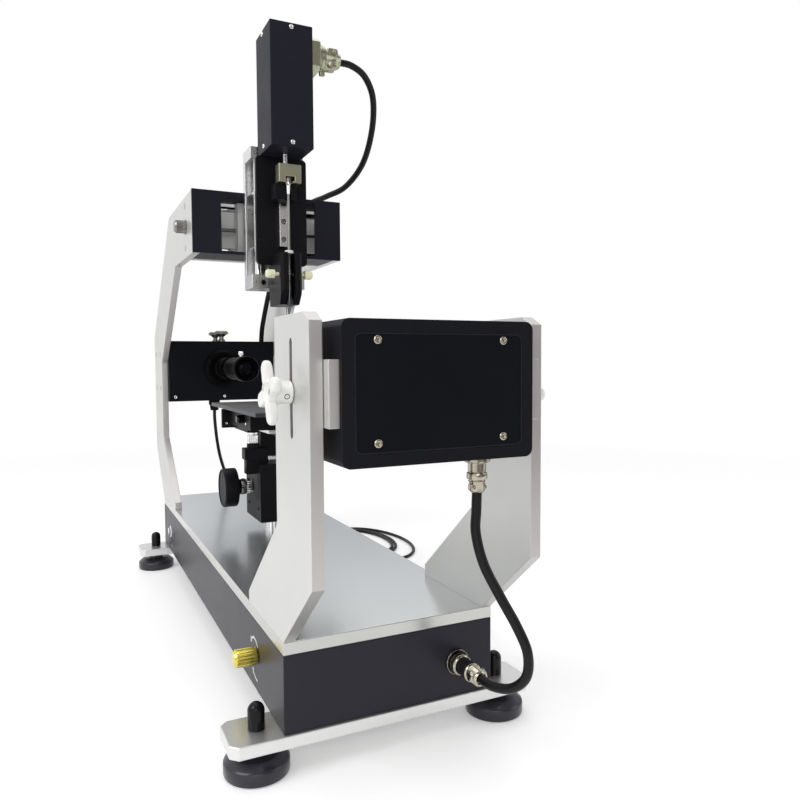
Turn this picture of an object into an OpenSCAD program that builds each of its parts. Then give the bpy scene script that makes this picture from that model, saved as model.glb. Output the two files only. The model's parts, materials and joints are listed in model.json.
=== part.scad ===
// Contact angle tester: a long base with a light box on two front uprights,
// two C-shaped rear plates that carry a camera and a motor-driven syringe on two slides,
// and a sample table on a lifting post between them.
// Millimetres. +X is right, +Y is back, +Z is up, the light box faces -Y.
// The pieces are placed from the front lower edge of the base housing.

/* [Base] */
// Width of the base housing
base_w = 180; // [170:1:200]
// Length of the base housing
base_l = 640; // [620:1:680]
// Height of the base housing
base_h = 60; // [50:1:70]
// Wall of the base housing
base_wall = 6; // [4:0.5:8]
// Floor of the base housing
base_floor = 5; // [3:0.5:8]
// Thickness of the deck plate
deck_t = 10; // [8:0.5:14]

/* [Feet] */
// How far a foot bar stands out of the base's side
bar_out = 40; // [36:1:50]
// Width of a foot bar
bar_w = 44; // [40:1:56]
// Thickness of a foot bar
bar_t = 10; // [8:0.5:14]
// Corner chamfer of a foot bar
bar_cut = 6; // [2:0.5:10]
// Distance of a bar's centre line from the end of the base
bar_in = 20; // [18:1:30]
// Distance of a levelling stud from the base's side
stud_out = 16; // [14:0.5:20]
// Diameter of a levelling stud
stud_d = 10; // [8:0.5:11]
// Diameter of a foot pad
pad_d = 50; // [40:1:54]
// Height of a foot pad's upright wall
pad_h = 11; // [6:0.5:12]
// Height of the bevel on a foot pad
pad_bevel = 5; // [2:0.5:6]
// Height from the floor to the underside of a bar
foot_h = 22; // [20:0.5:26]
// Diameter of the cap on a stud
cap_d = 13; // [12.5:0.5:16]
// Height of the cap above the bar
cap_h = 21; // [18:0.5:30]

/* [Uprights] */
// Thickness of the four side plates
side_t = 9; // [8:0.5:12]
// Reach of an upright ahead of the base
up_reach = 67.5; // [60:0.5:72]
// Width of an upright
up_w = 78.5; // [74:0.5:84]
// Height of an upright above the deck
up_h = 238; // [232:1:260]
// Length of an upright's foot on the deck
up_foot = 102; // [90:1:120]
// Height of the square step at the end of a plate's foot
foot_step = 10; // [8:0.5:14]
// Height above the deck where the front slope meets the front edge
up_front_h = 58; // [50:1:70]
// Height above the deck where the rear slope meets the rear edge
up_rear_h = 86; // [76:1:100]
// Height of the chamfer on an upright's top front corner
up_cut = 6; // [3:0.5:12]
// Length of the chamfer on an upright's top front corner
up_cut_l = 12; // [6:0.5:18]
// Width of the clamp slot
slot_w = 6.6; // [6.4:0.1:8]
// Height of the slot's lower end above the deck
slot_low = 153; // [145:1:158]
// Height of the slot's upper end above the deck
slot_high = 222; // [216:1:226]

/* [Rear plates] */
// Reach of the rear plates behind the base
arm_reach = 74; // [70:1:84]
// Width of the rear column
col_w = 80; // [76:1:84]
// Length of a rear plate's foot on the deck
col_foot = 114; // [104:1:124]
// Height of the head's top edge above the deck
head_top = 404; // [400:1:412]
// Height of the head
head_h = 72; // [70:1:78]
// Distance of the head's front edge from the rear of the base
head_reach = 294; // [288:1:300]
// Length of the head's straight top edge
head_top_l = 179; // [170:1:190]
// Length of the head's straight lower edge
head_low_l = 134; // [126:1:142]
// Height above the deck where the top slope meets the rear edge
col_top = 246; // [240:1:256]
// Height above the deck where the inner slope meets the column
col_in = 206; // [200:1:212]
// Height above the deck where the lower front slope meets the column
col_low = 92; // [86:1:100]
// Height above the deck where the lower rear slope meets the rear edge
col_rear = 70; // [60:1:80]

/* [Light box] */
// Reach of the light box ahead of the base
box_reach = 80; // [76:1:90]
// Height of the light box
box_h = 96; // [90:1:104]
// Depth of the light box
box_d = 80; // [70:1:90]
// Edge radius of the light box
box_r = 6; // [3:0.5:10]
// Wall of the light box
box_wall = 4; // [3:0.5:6]
// Height of the light box's underside above the deck
box_low = 137; // [130:1:144]
// Margin round the inset front panel
panel_in = 8.5; // [8:0.5:12]
// Thickness of the inset front panel
panel_t = 2.5; // [2:0.1:3.5]
// Corner radius of the inset front panel
panel_r = 5; // [2:0.5:8]
// Thickness of the opal window
opal_t = 3; // [2:0.5:4]
// Margin round the opal window
opal_in = 9; // [8:0.5:14]
// Thickness of a side block
block_t = 8; // [6:0.5:10]
// Height of a side block
block_h = 44; // [40:1:50]
// Length of a side block
block_l = 70; // [60:1:74]
// Setback of a side block from the front of the light box
block_in = 3; // [2:0.5:8]

/* [Star knobs] */
// Width across the lobes of a star knob
star_d = 46; // [42:1:50]
// Number of lobes
star_n = 4; // [3:1:5]
// Thickness of the lobes
star_t = 7; // [6:0.5:9]
// Diameter of the knob's hub
hub_d = 16; // [15:0.5:18]
// Height of the knob above the plate
hub_l = 18; // [17:0.5:22]
// Width of a lobe at its tip
lobe_w = 8.5; // [8:0.5:10]
// Depth of the dish in the knob's outer face
dish_h = 4; // [3:0.5:5]
// Diameter of the clamp stud
clamp_d = 6; // [5:0.1:6]

/* [Cross slide] */
// Sheet of the slide cover
cover_t = 3; // [2:0.5:4]
// Depth of the cover's flanges
cover_d = 52; // [48:1:56]
// Width of the cover's window
window_w = 114; // [110:1:120]
// Height of the cover's lip above and below the window
lip_h = 3.5; // [3:0.5:6]
// Distance of the guide rods behind the head's front edge
rod_in = 44; // [42:0.5:48]
// Diameter of the guide rods
rod_d = 7; // [5:0.5:8]
// Distance between the two guide rods
rod_gap = 50; // [46:1:52]
// Diameter of the lead screws
screw_d = 5; // [4:0.5:6]
// Diameter of the knurled screw knobs
knob_d = 15.5; // [14:0.5:16.5]
// Length of the knurled screw knobs
knob_l = 14; // [10:0.5:18]
// Diameter of the recess behind the cross knob
recess_d = 18; // [17:0.5:20]
// Width of the cross carriage
cc_w = 60; // [56:1:64]
// Depth of the cross carriage along Y
cc_d = 24; // [20:1:26]
// Width of the carriage's neck through the window
neck_w = 48; // [40:1:50]
// Thickness of the slide's back plate
back_t = 6; // [4:0.5:8]

/* [Vertical stage] */
// Width of the stage frame
zf_w = 62; // [60:1:66]
// Height of the stage frame
zf_h = 159; // [156:1:166]
// Depth of the stage's end blocks
zf_d = 35; // [34:0.5:38]
// Thickness of the stage's back plate
zf_t = 8; // [6:0.5:9]
// Height of the upper end block
zf_top = 14; // [12:0.5:18]
// Height of the lower end block
zf_bot = 16; // [14:0.5:18]
// Height of the cross slide's axis above the stage frame's lower end
zf_drop = 78; // [74:1:82]
// Distance between the stage's guide rods
zrod_gap = 42; // [38:1:44]
// Distance of the stage's guide rods behind the front of its end blocks
zrod_in = 12; // [11:0.5:14]
// Height of the vertical carriage
zc_h = 62; // [58:1:66]
// Height of the carriage above the lower end block at rest
zc_up = 29; // [27:0.5:31]
// Reach of the carriage ahead of the stage's end blocks
zc_out = 10; // [8:0.5:12]

/* [Syringe unit] */
// Width of the syringe plate
sp_w = 58; // [54:1:60]
// Thickness of the syringe plate
sp_t = 6; // [5:0.5:8]
// Corner radius of the syringe plate
sp_r = 5; // [2:0.5:8]
// Length of the syringe plate below the carriage
sp_low = 20; // [16:1:24]
// Length of the syringe plate above the carriage
sp_high = 38; // [36:1:40]
// Width of the guide rail
rail_w = 9; // [8:0.5:10]
// Height of the guide rail
rail_h = 6.5; // [6:0.1:7]
// Length of the guide rail
rail_l = 92; // [88:1:94]
// Pitch of the rail's screw holes
rail_pitch = 20; // [18:0.5:22]
// Distance of the syringe's axis ahead of the plate
syr_out = 25; // [24:0.5:27]
// Distance of the feed rod's axis ahead of the plate
feed_out = 15; // [14.5:0.1:15.5]
// Diameter of the feed rod
feed_d = 5; // [4:0.1:5]
// Length of the feed rod inside the motor box at rest
feed_in = 60; // [56:1:64]
// Outer diameter of the glass barrel
barrel_d = 8; // [7:0.1:8.5]
// Bore of the glass barrel
barrel_bore = 4.8; // [4:0.1:5]
// Length of the glass barrel
barrel_l = 86; // [80:1:90]
// Length of the needle
needle_l = 17; // [12:0.5:20]
// Width of the syringe holder
hold_w = 24; // [22:0.5:26]
// Height of the syringe holder
hold_h = 56; // [52:1:60]
// Depth of the holder's foot under the plate
hold_back = 14; // [10:0.5:16]
// Diameter of a nylon thumbscrew's head
thumb_d = 9.5; // [8:0.5:11]
// Length of a nylon thumbscrew's head
thumb_l = 9; // [7:0.5:11]
// Diameter of a nylon thumbscrew's shank
thumb_shank = 4; // [3:0.1:5]
// Width of the plunger clamp
pc_w = 25; // [23:0.5:27]
// Height of the plunger clamp
pc_h = 20; // [18:0.5:22]
// Diameter of the plunger rod
plunger_d = 3; // [2:0.1:3.4]
// Width of the motor box
mb_w = 47; // [42:0.5:48]
// Depth of the motor box
mb_d = 57; // [54:0.5:58]
// Height of the motor box
mb_h = 129; // [120:1:134]

/* [Camera] */
// Height of the optical axis above the deck
optic_h = 197; // [192:1:200]
// Height of the camera box below the axis
cam_down = 50; // [46:1:51]
// Height of the camera box above the axis
cam_up = 42; // [38:1:44]
// Depth of the camera box
cam_d = 80; // [74:1:84]
// Distance of the camera box's front ahead of the columns
cam_out = 10; // [8:0.5:12]
// Diameter of the lens flange
flange_d = 57; // [52:1:60]
// Thickness of the lens flange
flange_t = 9; // [7:0.5:11]
// Diameter of the lens tube
lens_d = 35; // [34:0.5:40]
// Length of the lens ahead of its flange
lens_l = 147; // [140:1:150]
// Diameter of a camera clamp screw's head
cs_d = 21; // [18:0.5:24]
// Distance between the two camera clamp screws
cs_gap = 48; // [40:1:50]

/* [Sample stage] */
// Diameter of the lift post
post_d = 13; // [12:0.5:14]
// Height of the lift post
post_h = 112; // [108:1:113]
// Distance of the lift post behind the syringe's axis
post_back = 92; // [90:1:96]
// Width of the lift body
lift_w = 40; // [38:1:44]
// Depth of the lift body
lift_d = 70; // [66:1:76]
// Height of the lift body's underside above the deck
lift_low = 14.5; // [14:0.5:18]
// Height of the lift body's lower block
lift_h = 70; // [66:1:72]
// Width of the lift arm
arm_w = 68; // [62:1:72]
// Width of the lift arm's nose
nose_w = 30; // [26:1:36]
// Thickness of the lift arm
arm_t = 8; // [7:0.5:10]
// Height of the lift arm's underside above the deck
arm_low = 123; // [122:0.5:124]
// Width of the middle layer
mid_w = 114; // [110:1:120]
// Thickness of the middle layer
mid_t = 10; // [9.5:0.5:11]
// Length of the middle layer
mid_l = 99; // [96:1:102]
// Reach of the middle layer ahead of the syringe's axis
mid_reach = 44; // [42:1:46]
// Thickness of the rear wall on the middle layer
wall_t = 5; // [4:0.5:6]
// Width of the rear wall on the middle layer
wall_w = 132; // [128:1:136]
// Thickness of the middle layer's front and left walls
lug_w = 10; // [8:0.5:11]
// Thickness of the slide plate under the middle layer
slip_t = 4; // [3.5:0.5:5]
// Width of the slide plate under the middle layer
slip_w = 76; // [70:1:84]
// Width of the keys that the layers slide on
key_w = 16; // [14:0.5:18]
// Height of the key on the arm
arm_key = 2.5; // [2:0.5:3]
// Height of the key on the middle layer
mid_key = 4; // [3.5:0.5:4.5]
// Thickness of the table's carriage
top_t = 12; // [11:0.5:13]
// Width of the table's carriage
cart_w = 62; // [58:1:66]
// Length of the table's carriage
cart_l = 64; // [60:1:68]
// Thickness of the sample table
table_t = 4; // [3:0.5:6]
// Width of the sample table
table_w = 134; // [128:1:136]
// Length of the sample table
table_l = 210; // [200:1:214]
// Diameter of the lift knob
lk_d = 47; // [40:1:50]
// Thickness of the lift knob's disc
lk_t = 17; // [14:0.5:19]
// Radius of the lift pinion
pinion_r = 6; // [5.5:0.1:6.5]
// Diameter of the lift axle
axle_d = 7; // [6:0.1:7]
// Diameter of the knurled thimble
thimble_d = 14; // [13:0.5:14.5]
// Diameter of the table's adjusting knob
xk_d = 9; // [8:0.5:10]

/* [Controls] */
// Diameter of the brightness knob
gold_d = 15; // [13:0.5:17]
// Length of the brightness knob
gold_l = 18.5; // [14:0.5:20]
// Number of flutes on the brightness knob
gold_n = 16; // [12:1:20]
// Distance of the brightness knob from the front of the base
gold_y = 79; // [74:1:84]
// Distance of the push button from the rear of the base
button_y = 67; // [60:1:76]
// Diameter of the push button
button_d = 12; // [10:0.5:14]
// Height of the side controls above the base's underside
ctrl_z = 30; // [28:1:32]
// Height of the brightness knob above the base's underside
gold_z = 31.5; // [29:0.5:34]
// Distance of the light socket from the middle of the base
jack_x = 56; // [50:1:60]

/* [Hidden] */
$fn = 64;
// Radial clearance of a shaft in its bore
fit = 0.05;
// Gap between faces that slide past each other
gap = 0.4;
z_base = foot_h + bar_t;
y_front = box_reach - (base_l + box_reach + arm_reach) / 2;
deck_z = base_h + deck_t;
half_w = base_w / 2;
inner_x = half_w - side_t;

slot_y = up_w / 2 - up_reach;
box_w = 2 * (inner_x - block_t);
box_z = deck_z + box_low;
box_mid = box_z + box_h / 2;
box_back = box_d - box_reach;
plug_x = 40;
plug_y = 22 - box_reach;

head_y = base_l - head_reach;
slide_z = deck_z + head_top - head_h / 2;
rod_y = head_y + rod_in;
cover_y = head_y - cover_t;
back_y = rod_y + cc_d / 2 + 4;
zf_back = cover_y - 1;
zf_front = zf_back - zf_d;
zf_z = slide_z - zf_drop;
zrod_y = zf_front + zrod_in;
zc_z = zf_z + zf_bot + zc_up;
zc_front = zf_front - zc_out;
sp_y = zc_front - sp_t;
sp_z0 = zc_z - sp_low;
sp_z1 = zc_z + zc_h + sp_high;
syr_y = sp_y - syr_out;
feed_y = sp_y - feed_out;
rail_z = sp_z0 + 20;
hold_top = sp_z0 + 10;
hold_z = hold_top - hold_h;
hold_y = syr_y - 10;
thumb_z = hold_z + 33;
push_z = hold_top + 58;
pc_z = push_z + 17;
mb_y = zc_front + 6 - mb_d;

optic_z = deck_z + optic_h;
col_y = base_l + arm_reach - col_w;
cam_y = col_y - cam_out;
cam_z0 = optic_z - cam_down;
cam_z1 = optic_z + cam_up;
lens_y = cam_y - flange_t;

post_y = syr_y + post_back;
lift_z = deck_z + lift_low;
arm_z = deck_z + arm_low;
mid_z = arm_z + arm_t + gap;
top_z = mid_z + mid_t + gap;
table_z = top_z + top_t;
axle_y = post_y + post_d / 2 + pinion_r + 1;
axle_z = lift_z + 38.5;
thimble_x = -lift_w / 2 - 4;
lock_y = post_y - 14;
lock_z = lift_z + lift_h + 24;
mid_y0 = syr_y - mid_reach;
mid_y1 = mid_y0 + mid_l;
adjust_y = syr_y - 14;
adjust_z = top_z + 4;
adjust_d = 5;

// Shapes that repeat

module placed() {
  translate([0, y_front, z_base]) children();
}

module block(a, b) {
  translate(a) cube(b - a);
}

module rod_x(r, x0, x1, y, z) {
  translate([x0, y, z]) rotate([0, 90, 0]) cylinder(r = r, h = x1 - x0);
}

module rod_y(r, y0, y1, x, z) {
  translate([x, y0, z]) rotate([-90, 0, 0]) cylinder(r = r, h = y1 - y0);
}

module rod_z(r, z0, z1, x, y) {
  translate([x, y, z0]) cylinder(r = r, h = z1 - z0);
}

// An outline in Y and Z, drawn out along X
module sheet_x(x0, t) {
  translate([x0, 0, 0]) rotate([90, 0, 90]) linear_extrude(t) children();
}

// An outline in X and Z, drawn out along Y
module sheet_y(y0, t) {
  translate([0, y0 + t, 0]) rotate([90, 0, 0]) linear_extrude(t) children();
}

module round_rect(w, h, r) {
  square([w - 2 * r, h], center = true);
  square([w, h - 2 * r], center = true);
  for (x = [-1, 1], y = [-1, 1])
    translate([x * (w / 2 - r), y * (h / 2 - r)]) circle(r);
}

module fluted(r, n, cut) {
  difference() {
    circle(r);
    for (i = [0 : n - 1])
      rotate(i * 360 / n) translate([r + cut * 0.35, 0]) circle(cut, $fn = 24);
  }
}

// A fluted knob along +Z with a plain rim at its outer end
module knurled(r, l, n) {
  linear_extrude(l - 2) fluted(r, n, r * 0.13);
  translate([0, 0, l - 2]) cylinder(r1 = r * 0.96, r2 = r * 0.8, h = 2);
}

// Tube along a smooth curve through points
function unit(v) = v / norm(v);
function hermite(a, b, c, d, t) =
  b + 0.5 * t * (c - a + t * (2 * a - 5 * b + 4 * c - d + t * (3 * (b - c) + d - a)));
function along(p, i, t) =
  let (n = len(p) - 1)
  let (a = i > 0 ? p[i - 1] : 2 * p[0] - p[1])
  let (d = i < n - 1 ? p[i + 2] : 2 * p[n] - p[n - 1])
  hermite(a, p[i], p[i + 1], d, t);
function route(p, k) =
  concat([for (i = [0 : len(p) - 2], j = [0 : k - 1]) along(p, i, j / k)], [p[len(p) - 1]]);
function tangent(q, i, n) =
  i == 0 ? unit(q[1] - q[0]) : i == n ? unit(q[n] - q[n - 1]) : unit(q[i + 1] - q[i - 1]);
function sides(q, i, u) =
  let (t = tangent(q, i, len(q) - 1))
  let (v = unit(u - (u * t) * t))
  i == len(q) - 1 ? [v] : concat([v], sides(q, i + 1, v));
function path_length(q) = len(q) < 2 ? 0 : sum([for (i = [1 : len(q) - 1]) norm(q[i] - q[i - 1])]);
function sum(v, i = 0) = i < len(v) ? v[i] + sum(v, i + 1) : 0;

module tube(q, d, n, first, last, up) {
  m = len(q) - 1;
  u = sides(q, 0, up);
  t = [for (i = [0 : m]) i == 0 ? unit(first) : i == m ? unit(last) : tangent(q, i, m)];
  a = [for (i = [0 : m]) unit(u[i] - (u[i] * t[i]) * t[i])];
  b = [for (i = [0 : m]) cross(t[i], a[i])];
  pts = [
    for (i = [0 : m], k = [0 : n - 1])
      q[i] + d / 2 * (cos(k * 360 / n) * a[i] + sin(k * 360 / n) * b[i])
  ];
  faces = concat(
    [[for (k = [0 : n - 1]) k]],
    [for (i = [0 : m - 1], k = [0 : n - 1]) [i * n + k, (i + 1) * n + k, i * n + (k + 1) % n]],
    [
      for (i = [0 : m - 1], k = [0 : n - 1])
        [(i + 1) * n + k, (i + 1) * n + (k + 1) % n, i * n + (k + 1) % n]
    ],
    [[for (k = [n - 1 : -1 : 0]) m * n + k]]
  );
  polyhedron(pts, faces);
}

// Base

module base_body() {
  color([0.13, 0.14, 0.18])
  placed()
  difference() {
    block([-half_w, 0, 0], [half_w, base_l, base_h]);
    block([base_wall - half_w, base_wall, base_floor],
          [half_w - base_wall, base_l - base_wall, base_h + 1]);
    rod_x(3 + fit, -half_w - 1, base_wall - half_w + 1, gold_y, gold_z);
    rod_x(button_d / 2 + fit, -half_w - 1, base_wall - half_w + 1, base_l - button_y, ctrl_z);
    rod_y(6, -1, base_wall + 1, jack_x, ctrl_z - 1);
  }
}

module top_plate() {
  color([0.78, 0.79, 0.8])
  placed()
  block([-half_w, 0, base_h], [half_w, base_l, deck_z]);
}

module foot_bars() {
  color([0.8, 0.81, 0.82])
  placed()
  for (y = [bar_in, base_l - bar_in])
    translate([0, y, -bar_t])
      difference() {
        linear_extrude(bar_t) bar_outline();
        for (s = [-1, 1])
          translate([s * (half_w + stud_out), 0, -1]) cylinder(r = stud_d / 2 + fit, h = bar_t + 2);
      }
}

module bar_outline() {
  x = half_w + bar_out;
  y = bar_w / 2;
  c = bar_cut;
  polygon([
    [c - x, -y], [x - c, -y], [x, c - y], [x, y - c],
    [x - c, y], [c - x, y], [-x, y - c], [-x, c - y]
  ]);
}

// Levelling foot: pad, lock collar, stud through the bar and dome cap on the stud
module foot(sx, y) {
  r = pad_d / 2;
  s = stud_d / 2;
  c = cap_d / 2;
  color([0.06, 0.06, 0.065])
  placed()
  translate([sx * (half_w + stud_out), y, -z_base]) {
    rotate_extrude()
      polygon([
        [0, 0], [r - 2, 0], [r, 2], [r, pad_h], [r - 6, pad_h + pad_bevel],
        [s + 4, pad_h + pad_bevel], [s + 4, foot_h - gap], [s, foot_h - gap],
        [s, z_base + gap], [c, z_base + gap], [c, z_base + cap_h - c], [0, z_base + cap_h - c]
      ]);
    translate([0, 0, z_base + cap_h - c]) sphere(c);
  }
}

module foot_fl() {
  foot(-1, bar_in);
}

module foot_fr() {
  foot(1, bar_in);
}

module foot_rl() {
  foot(-1, base_l - bar_in);
}

module foot_rr() {
  foot(1, base_l - bar_in);
}

module brightness_knob() {
  color([0.75, 0.6, 0.2])
  placed()
  translate([-half_w, gold_y, gold_z])
    rotate([0, -90, 0]) {
      translate([0, 0, -base_wall - 6]) cylinder(r = 3, h = base_wall + 8);
      translate([0, 0, 1]) knurled(gold_d / 2, gold_l, gold_n);
    }
}

// Button that is pushed in along +X, kept by a flange inside the wall
module power_button() {
  color([0.75, 0.76, 0.77])
  placed()
  translate([-half_w, base_l - button_y, ctrl_z])
    rotate([0, -90, 0]) {
      translate([0, 0, -base_wall - 3]) cylinder(r = button_d / 2, h = base_wall + 6.5);
      translate([0, 0, -base_wall - 3]) cylinder(r = button_d / 2 + 2, h = 2.6);
    }
}

// Round cable connector along +Z, from its panel ring to its cable clamp
module round_jack(ring_r, body_r, clamp_r, l) {
  rotate_extrude()
    polygon([
      [0, 0], [ring_r, 0], [ring_r, 3.5], [body_r, 3.5], [body_r, l * 0.3],
      [body_r - 1, l * 0.32], [body_r - 1, l * 0.5], [body_r, l * 0.52], [body_r, l * 0.68],
      [clamp_r, l * 0.72], [clamp_r, l - 1], [clamp_r - 1, l], [0, l]
    ]);
}

module base_jack() {
  color([0.72, 0.7, 0.64])
  placed()
  translate([jack_x, 0, ctrl_z - 1])
    rotate([90, 0, 0]) {
      round_jack(10.5, 8.8, 6.8, 39);
      translate([0, 0, -base_wall - 8]) cylinder(r = 6 - fit, h = base_wall + 8);
    }
}

// Uprights

module upright_outline() {
  difference() {
    polygon([
      [0, deck_z], [up_foot, deck_z], [up_foot, deck_z + foot_step],
      [up_w - up_reach, deck_z + up_rear_h], [up_w - up_reach, deck_z + up_h],
      [up_cut_l - up_reach, deck_z + up_h], [-up_reach, deck_z + up_h - up_cut],
      [-up_reach, deck_z + up_front_h]
    ]);
    translate([slot_y - slot_w / 2, deck_z + slot_low + slot_w / 2])
      square([slot_w, slot_high - slot_low - slot_w]);
    for (z = [slot_low + slot_w / 2, slot_high - slot_w / 2])
      translate([slot_y, deck_z + z]) circle(slot_w / 2);
  }
}

module upright_l() {
  color([0.84, 0.85, 0.85])
  placed() sheet_x(-half_w, side_t) upright_outline();
}

module upright_r() {
  color([0.84, 0.85, 0.85])
  placed() sheet_x(inner_x, side_t) upright_outline();
}

// Rear plates

module rear_outline() {
  r = base_l + arm_reach;
  polygon([
    [base_l - col_foot, deck_z], [base_l, deck_z], [r, deck_z + col_rear], [r, deck_z + col_top],
    [head_y + head_top_l, deck_z + head_top], [head_y, deck_z + head_top],
    [head_y, deck_z + head_top - head_h], [head_y + head_low_l, deck_z + head_top - head_h],
    [col_y, deck_z + col_in], [col_y, deck_z + col_low],
    [base_l - col_foot, deck_z + foot_step]
  ]);
}

module rear_plate_l() {
  color([0.84, 0.85, 0.85])
  placed()
  difference() {
    sheet_x(-half_w, side_t) rear_outline();
    rod_x(screw_d / 2 + fit, -half_w - 1, 1 - inner_x, rod_y, slide_z);
    rod_x(recess_d / 2, -half_w - 1, 4 - half_w, rod_y, slide_z);
  }
}

module rear_plate_r() {
  color([0.84, 0.85, 0.85])
  placed()
  difference() {
    sheet_x(inner_x, side_t) rear_outline();
    rod_x(screw_d / 2 + fit, inner_x - 1, inner_x + 6, rod_y, slide_z);
  }
}

// Light box

module light_box() {
  color([0.05, 0.05, 0.06])
  placed()
  translate([0, 0, box_mid])
  difference() {
    sheet_y(-box_reach, box_d) round_rect(box_w, box_h, box_r);
    sheet_y(-box_reach - 1, panel_t + 1)
      round_rect(box_w - 2 * panel_in, box_h - 2 * panel_in, panel_r);
    sheet_y(-box_reach + panel_t + box_wall, box_d)
      round_rect(box_w - 2 * opal_in - 4, box_h - 2 * opal_in - 4, 2);
    sheet_y(box_back - opal_t, opal_t + 1)
      round_rect(box_w - 2 * opal_in, box_h - 2 * opal_in, 3);
    for (s = [-1, 1])
      rod_x(clamp_d / 2 + fit, min(s * (box_w / 2 - 7), s * (box_w / 2 + 1)),
            max(s * (box_w / 2 - 7), s * (box_w / 2 + 1)), slot_y, 0);
  }
}

module light_panel() {
  color([0.03, 0.03, 0.035])
  placed()
  translate([0, 0, box_mid])
    sheet_y(-box_reach + 0.5, panel_t - 0.5)
      round_rect(box_w - 2 * panel_in - 0.4, box_h - 2 * panel_in - 0.4, panel_r - 0.2);
}

module light_window() {
  color([0.95, 0.95, 0.93])
  placed()
  translate([0, 0, box_mid])
    sheet_y(box_back - opal_t, opal_t)
      round_rect(box_w - 2 * opal_in - 0.4, box_h - 2 * opal_in - 0.4, 2.8);
}

module light_blocks() {
  y = block_in - box_reach;
  color([0.85, 0.85, 0.86])
  placed()
  for (s = [-1, 1])
    difference() {
      translate([s * (box_w / 2 + (block_t - gap) / 2), y + block_l / 2, box_mid])
        cube([block_t - gap, block_l, block_h], center = true);
      rod_x(clamp_d / 2 + fit, s * (box_w / 2 + block_t / 2) - block_t,
            s * (box_w / 2 + block_t / 2) + block_t, slot_y, box_mid);
    }
}

module box_jack() {
  color([0.72, 0.7, 0.64])
  placed()
  translate([plug_x, plug_y, box_z])
    rotate([180, 0, 0]) round_jack(9.8, 7.8, 5.6, 27);
}

// Lobed knob along +Z: hub on the plate, dished lobes further out, clamp stud on its back
module star_knob() {
  r = lobe_w / 2;
  reach = star_d / 2 - r;
  web = hub_d / 2;
  color([0.93, 0.93, 0.9]) {
    difference() {
      union() {
        translate([0, 0, gap]) cylinder(d = hub_d, h = hub_l - gap);
        translate([0, 0, hub_l - star_t - 3]) cylinder(r1 = web, r2 = web + 3, h = star_t + 3);
        translate([0, 0, hub_l - star_t])
          linear_extrude(star_t)
            for (i = [0 : star_n - 1])
              rotate(i * 360 / star_n + 20) {
                translate([reach, 0]) circle(r);
                polygon([[0, -web], [reach, -r], [reach, r], [0, web]]);
              }
      }
      translate([0, 0, hub_l - dish_h]) cylinder(r1 = web - 3, r2 = web + 0.5, h = dish_h + 0.1);
      translate([0, 0, 5]) rotate([0, 90, 200]) cylinder(r = 1.6, h = hub_d);
    }
    translate([0, 0, -side_t - block_t - 6]) cylinder(d = clamp_d, h = side_t + block_t + 8);
  }
}

module star_knob_l() {
  placed() translate([-half_w, slot_y, box_mid]) rotate([0, -90, 0]) star_knob();
}

module star_knob_r() {
  placed() translate([half_w, slot_y, box_mid]) rotate([0, 90, 0]) star_knob();
}

// Cross slide

module slide_cover() {
  z0 = slide_z - head_h / 2;
  z1 = slide_z + head_h / 2;
  color([0.05, 0.05, 0.06])
  placed() {
    sheet_y(cover_y, cover_t)
      difference() {
        translate([-half_w, z0]) square([base_w, head_h]);
        translate([-window_w / 2, z0 + lip_h]) square([window_w, head_h - 2 * lip_h]);
      }
    block([-inner_x, cover_y, z1 - cover_t], [inner_x, cover_y + cover_d, z1]);
    block([-inner_x, cover_y, z0], [inner_x, cover_y + cover_d, z0 + cover_t]);
  }
}

module slide_back() {
  color([0.8, 0.81, 0.82])
  placed()
  block([-inner_x, back_y, slide_z - head_h / 2],
        [inner_x, back_y + back_t, slide_z + head_h / 2]);
}

module slide_rods() {
  color([0.88, 0.88, 0.89])
  placed()
  for (s = [-1, 1])
    rod_x(rod_d / 2, -inner_x, inner_x, rod_y, slide_z + s * rod_gap / 2);
}

module cross_screw() {
  color([0.7, 0.69, 0.66])
  placed() {
    rod_x(screw_d / 2, -half_w - 2, inner_x + 5, rod_y, slide_z);
    translate([gap + 0.6 - half_w, rod_y, slide_z])
      rotate([0, -90, 0]) knurled(knob_d / 2, knob_l, 28);
  }
}

module cross_carriage() {
  y0 = rod_y - cc_d / 2;
  h = head_h - 8;
  n = head_h - 2 * lip_h - 4;
  color([0.75, 0.76, 0.77])
  placed()
  difference() {
    union() {
      block([-cc_w / 2, y0, slide_z - h / 2], [cc_w / 2, y0 + cc_d, slide_z + h / 2]);
      block([-neck_w / 2, zf_back, slide_z - n / 2], [neck_w / 2, y0 + 1, slide_z + n / 2]);
    }
    for (s = [-1, 1])
      rod_x(rod_d / 2 + fit, -cc_w, cc_w, rod_y, slide_z + s * rod_gap / 2);
    rod_x(screw_d / 2 + fit, -cc_w, cc_w, rod_y, slide_z);
  }
}

// Vertical stage

module z_frame() {
  x = zf_w / 2;
  z1 = zf_z + zf_h;
  color([0.82, 0.83, 0.84])
  placed()
  difference() {
    union() {
      block([-x, zf_back - zf_t, zf_z], [x, zf_back, z1]);
      block([-x, zf_front, zf_z], [x, zf_back, zf_z + zf_bot]);
      block([-x, zf_front, z1 - zf_top], [x, zf_back, z1]);
    }
    for (s = [-1, 1])
      rod_z(rod_d / 2, zf_z + 5, z1 - 5, s * zrod_gap / 2, zrod_y);
    rod_z(screw_d / 2 + fit, zf_z + 5, z1 + 1, 0, zrod_y);
  }
}

module z_rods() {
  color([0.88, 0.88, 0.89])
  placed()
  for (s = [-1, 1])
    rod_z(rod_d / 2, zf_z + 5, zf_z + zf_h - 5, s * zrod_gap / 2, zrod_y);
}

module z_screw() {
  color([0.7, 0.69, 0.66])
  placed() {
    rod_z(screw_d / 2, zf_z + 6, zf_z + zf_h + 2, 0, zrod_y);
    translate([0, zrod_y, zf_z + zf_h + gap]) knurled(knob_d / 2, knob_l, 28);
  }
}

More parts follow.
